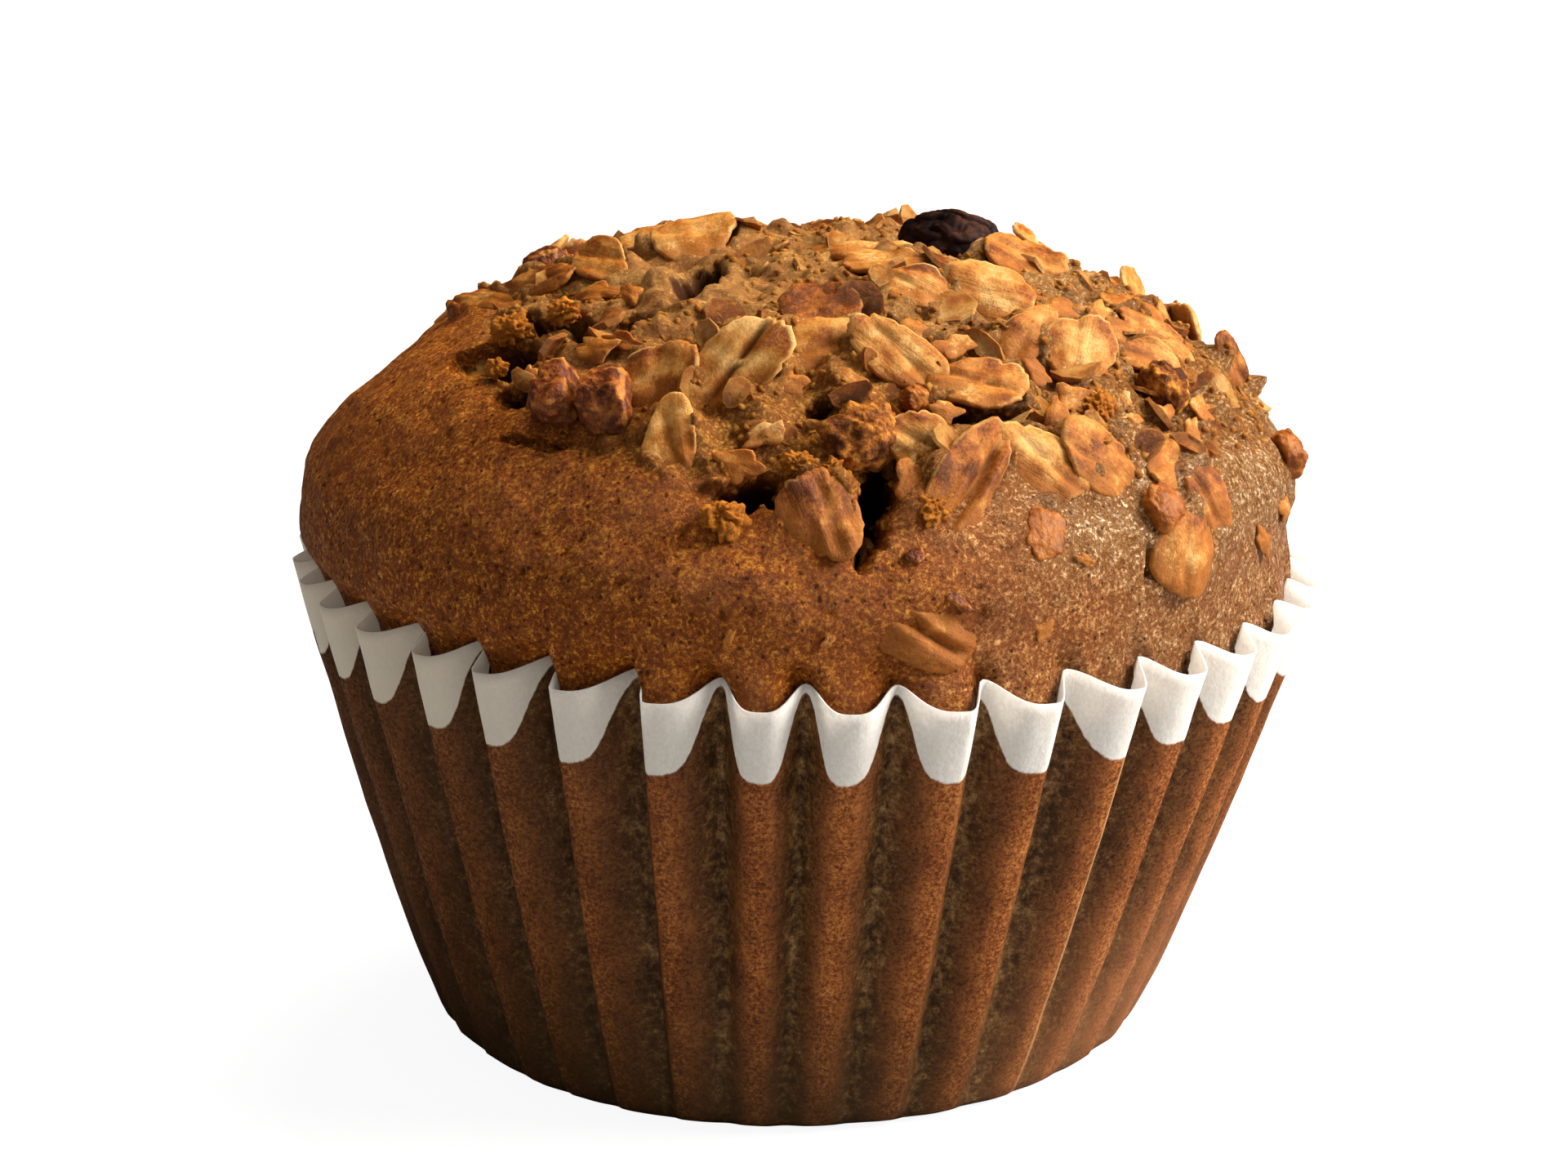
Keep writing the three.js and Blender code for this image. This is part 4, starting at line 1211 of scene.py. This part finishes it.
def strew(name, shape, crust, material, **values):
    """Strews a small shape over the crust where the crust's own attribute crumbly says."""
    values = {label.capitalize(): value for label, value in values.items()}
    tree = Group(name + "_tree", "GeometryNodeTree",
                 {"Crust": "Geometry", **values, "Material": "Material"}, {"Geometry": "Geometry"})
    given = tree.given
    crumbly = tree.make("GeometryNodeInputNamedAttribute", {"Name": "crumbly"}, "Attribute",
                        data_type="FLOAT")
    spread = tree.make("GeometryNodeDistributePointsOnFaces", {
        "Mesh": given["Crust"], "Distance Min": given["Spacing"], "Density Max": given["Density"],
        "Density Factor": crumbly, "Seed": given["Seed"]}, distribute_method="POISSON")
    sunk = tree.scaled(spread.output("Normal"), given["Sink"] * -1.0)
    bedded = tree.make("GeometryNodeSetPosition", {"Geometry": spread, "Offset": sunk})

    def between(low, high, seed):
        return tree.make("FunctionNodeRandomValue", {
            0: tree.vector(*low), 1: tree.vector(*high), "Seed": given["Seed"] + seed},
            data_type="FLOAT_VECTOR")

    back, tilt = given["Tilt"] * -1.0, given["Tilt"]
    turn = tree.make("FunctionNodeEulerToRotation", {
        0: between((back, back, -math.pi), (tilt, tilt, math.pi), 5.0)})
    turned = tree.make("FunctionNodeRotateRotation", {
        "Rotation": spread.output("Rotation"), "Rotate By": turn}, rotation_space="LOCAL")
    placed = tree.make("GeometryNodeInstanceOnPoints", {
        "Points": bedded, "Instance": shape(tree), "Rotation": turned,
        "Scale": between([given["Smallest"]] * 3, [given["Largest"]] * 3, 9.0)})
    chance = tree.make("FunctionNodeRandomValue", {"Seed": given["Seed"] + 13.0}, 1,
                       data_type="FLOAT")
    toned = tree.stored(placed, "INSTANCE", tone=chance ** 1.6)
    real = tree.make("GeometryNodeRealizeInstances", {"Geometry": toned})
    centred = tree.make("ShaderNodeVectorMath", {
        0: tree.waves(given["Grain"], 3.0, 0.7, "Color"), 1: (0.5, 0.5, 0.5)}, operation="SUBTRACT")
    shaped = tree.make("GeometryNodeSetPosition", {
        "Geometry": real, "Offset": tree.scaled(centred, given["Roughness"])})
    return run_nodes(name, tree.put_out_piece(shaped), crust.data, values, material)


def crumb_shape(tree):
    return tree.make("GeometryNodeMeshUVSphere", {"Segments": 6, "Rings": 5, "Radius": 0.5})


def chip_shape(tree):
    """A thin broken flake, its rim marked so that it can be painted paler as a highlight."""
    disc = tree.make("GeometryNodeMeshCylinder", {
        "Vertices": 9, "Side Segments": 1, "Fill Segments": 2, "Radius": 0.5, "Depth": 0.13},
        fill_type="NGON")
    angle = tree.make("GeometryNodeInputMeshEdgeAngle")
    crisp = tree.make("GeometryNodeSetShadeSmooth", {
        0: disc, "Selection": angle > 0.6, "Shade Smooth": False}, domain="EDGE")
    x, y, _ = tree.parts(tree.make("GeometryNodeInputPosition"))
    distance = np.sqrt(x * x + y * y) * 2.0
    marked = tree.stored(crisp, edge=distance, crease=0.0, along=x * 1000.0, across=y * 1000.0,
                         glaze=distance * 0.5)
    bent = tree.vector(0.0, 0.0, (x * x) * 0.25 - (y * y) * 0.35)
    return tree.make("GeometryNodeSetPosition", {"Geometry": marked, "Offset": bent})


def paper_tree():
    """A grid rolled into a cup: its columns go round the pleats and its rows from floor to rim."""
    tree = Group("pleated_cup", "GeometryNodeTree",
                 {"Blank": "Geometry", **CUP_SIZES, "Material": "Material"}, {"Geometry": "Geometry"})
    size = tree.given
    grid = tree.make("GeometryNodeMeshGrid", {
        "Size X": 1.0, "Size Y": 1.0, "Vertices X": size["Columns"] + 1.0,
        "Vertices Y": size["Rows"] + 1.0})
    turn, up, _ = tree.parts(tree.make("GeometryNodeInputPosition"))
    azimuth, up = (turn + 0.5) * 360.0, up + 0.5
    angle = np.radians(azimuth)
    aside = np.sin(angle)
    across = clamp(up / FLOOR_ROWS)
    share = clamp((up - FLOOR_ROWS) / (1 - FLOOR_ROWS)) ** 1.1

    def crumple(height):
        place = tree.vector(aside * 30.0, np.cos(angle) * 30.0, height * 0.6)
        return (tree.waves(1.0 / size["Crumple size"], Vector=place) - 0.5) * size["Crumple"] * 2.0

    radius, height = wall(size, azimuth, share, across, crumple)
    x, y, z = settled(size, azimuth, radius, height)

    phase, _, _, left, right = pleat(size, azimuth)
    outward = phase * np.sign(aside)
    turned = np.abs(aside).step(0.12, 0.55)
    # Crest marks the fold edges on the sides, where the paper's finish paints a highlight.
    crest = clamp(np.abs(outward - 0.2) * -20.0 + 1.0) * turned
    held = right * 0.18 - left * 0.05
    phase = np.abs(phase)
    cover = clamp(phase * (1.0 - (outward < 0.0) * turned * held))
    marked = tree.stored(grid, phase=phase, cover=cover, drop=(1.0 - share) * WALL_SLOPE,
                         crest=crest, side=aside)
    cup = tree.make("GeometryNodeSetPosition", {
        "Geometry": marked, "Position": tree.vector(x * MM, y * MM, z * MM)})
    return tree.put_out_piece(tree.make("GeometryNodeMergeByDistance", {
        "Geometry": cup, "Distance": WELD * MM}))


def make_paper_case(material):
    cup = run_nodes("paper_cup", paper_tree(), bpy.data.meshes.new("blank"), CUP_SIZES, material)
    thickened = cup.modifiers.new("wall", "SOLIDIFY")
    thickened.thickness = PAPER_THICKNESS * MM
    thickened.offset = -1
    thickened.use_even_offset = True
    solid = plain_mesh(cup)
    cup.modifiers.clear()
    cup.data = solid
    return cup


# ---- The object

crust = make_crust(crust_finish())
oats = make_oats(oat_finish())
nuts = make_lumps("nut", "nut_pieces", nut_finish())
clumps = make_lumps("clump", "dark_clumps", clump_finish())
fruit = make_lumps("fruit", "fruit_bits", fruit_finish())
cake_bits = make_lumps("crumb", "cake_bits", crumb_finish(
    "cake_bit", (0.2, 0.048, 0.0028), (0.56, 0.182, 0.009), (0.85, 0.37, 0.036)))
raisin = make_raisin(raisin_finish())
chips = strew("oat_chips", chip_shape, crust, oats.data.materials[0], spacing=0.0019,
              density=75000.0, smallest=0.0012, largest=0.0036, roughness=0.001, grain=800.0,
              tilt=0.35, sink=-0.00004, seed=3)
loose_crumb = crumb_finish(
    "loose_crumb", (0.18, 0.044, 0.0028), (0.39, 0.135, 0.01), (0.64, 0.31, 0.05))
crumbs = strew("crumbs", crumb_shape, crust, loose_crumb, spacing=0.0006, density=1200000.0,
               smallest=0.00032, largest=0.00082, roughness=0.0006, grain=2200.0, tilt=3.0,
               sink=0.0001, seed=5)
cup = make_paper_case(paper_finish())

for piece in (crust, oats, nuts, clumps, fruit, cake_bits, chips, crumbs):
    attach(piece, "root")
for piece, slot in ((raisin, "dried_fruit"), (cup, "case_paper")):
    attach(piece, "root")
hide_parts("muffin")
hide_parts("raisin")
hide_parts("paper_case")


# ---- Floor, light and camera

CAMERA_PLACE = (-0.000285, -0.22333, 0.09732)
CAMERA_PITCH = 16.583  # degrees below level
FLOOR_HALF_WIDTH = 4000


def make_floor():
    """A plain white table top, darker to the light that it throws back at the object."""
    finish = Finish("table", roughness=0.8, specular=0.1)
    seen = finish.make("ShaderNodeLightPath", output="Is Camera Ray")
    glossy = seen.output("Is Glossy Ray")
    white = finish.ramp(finish.noise(40.0), (0.3, 0.13, 0.13, 0.13), (0.7, 0.15, 0.15, 0.15))
    thrown = finish.mix(glossy, (0.5, 0.49, 0.48), (0.06, 0.06, 0.06))
    finish.dress({"Base Color": finish.mix(seen, thrown, white), "Emission Color": (1, 1, 1),
                  "Emission Strength": seen * 0.92})
    corners = np.array([(-1, -1, 0), (1, -1, 0), (1, 1, 0), (-1, 1, 0)]) * FLOOR_HALF_WIDTH
    return new_piece("table_top", corners, [(0, 1, 2, 3)], finish.material)


def add_light(name, place, aim, size, power, colour, mirrored):
    lamp = bpy.data.lights.new(name, "AREA")
    lamp.shape, lamp.size, lamp.energy, lamp.color = "DISK", size, power, colour
    holder = put_in_scene(name, lamp)
    holder.location = place
    holder.visible_glossy = mirrored
    holder.rotation_euler = (Vector(place) - Vector(aim)).to_track_quat("Z", "Y").to_euler()


def set_world(strength):
    """An even white light all round, white to the camera and dim in reflections."""
    world = bpy.data.worlds.new("studio")
    bpy.context.scene.world = world
    world.use_nodes = True
    nodes = Nodes(world.node_tree)
    seen = nodes.make("ShaderNodeLightPath", output="Is Camera Ray")
    lit = strength - seen.output("Is Glossy Ray") * (strength * 0.92)
    nodes.feed(world.node_tree.nodes["Background"], {
        "Color": (1.0, 1.0, 1.0), "Strength": lit * (1.0 - seen) + seen})


make_floor()
set_world(strength=0.34)
add_light("window", place=(0.54, -0.06, 0.37), aim=(0, 0, 0.04), size=0.38, power=9.4,
          colour=(1.0, 0.97, 0.93), mirrored=True)
add_light("top_light", place=(0.16, 0.3, 0.58), aim=(0, 0, 0.03), size=0.5, power=7.0,
          colour=(1.0, 0.98, 0.95), mirrored=False)

camera = bpy.data.cameras.new("camera")
camera.lens, camera.sensor_width = 73.66, 36.0
camera.clip_start, camera.clip_end = 0.01, 20.0
holder = put_in_scene("camera", camera)
holder.location = CAMERA_PLACE
holder.rotation_euler = (math.radians(90 - CAMERA_PITCH), 0, 0)
bpy.context.scene.camera = holder
bpy.context.scene.view_settings.view_transform = "Standard"
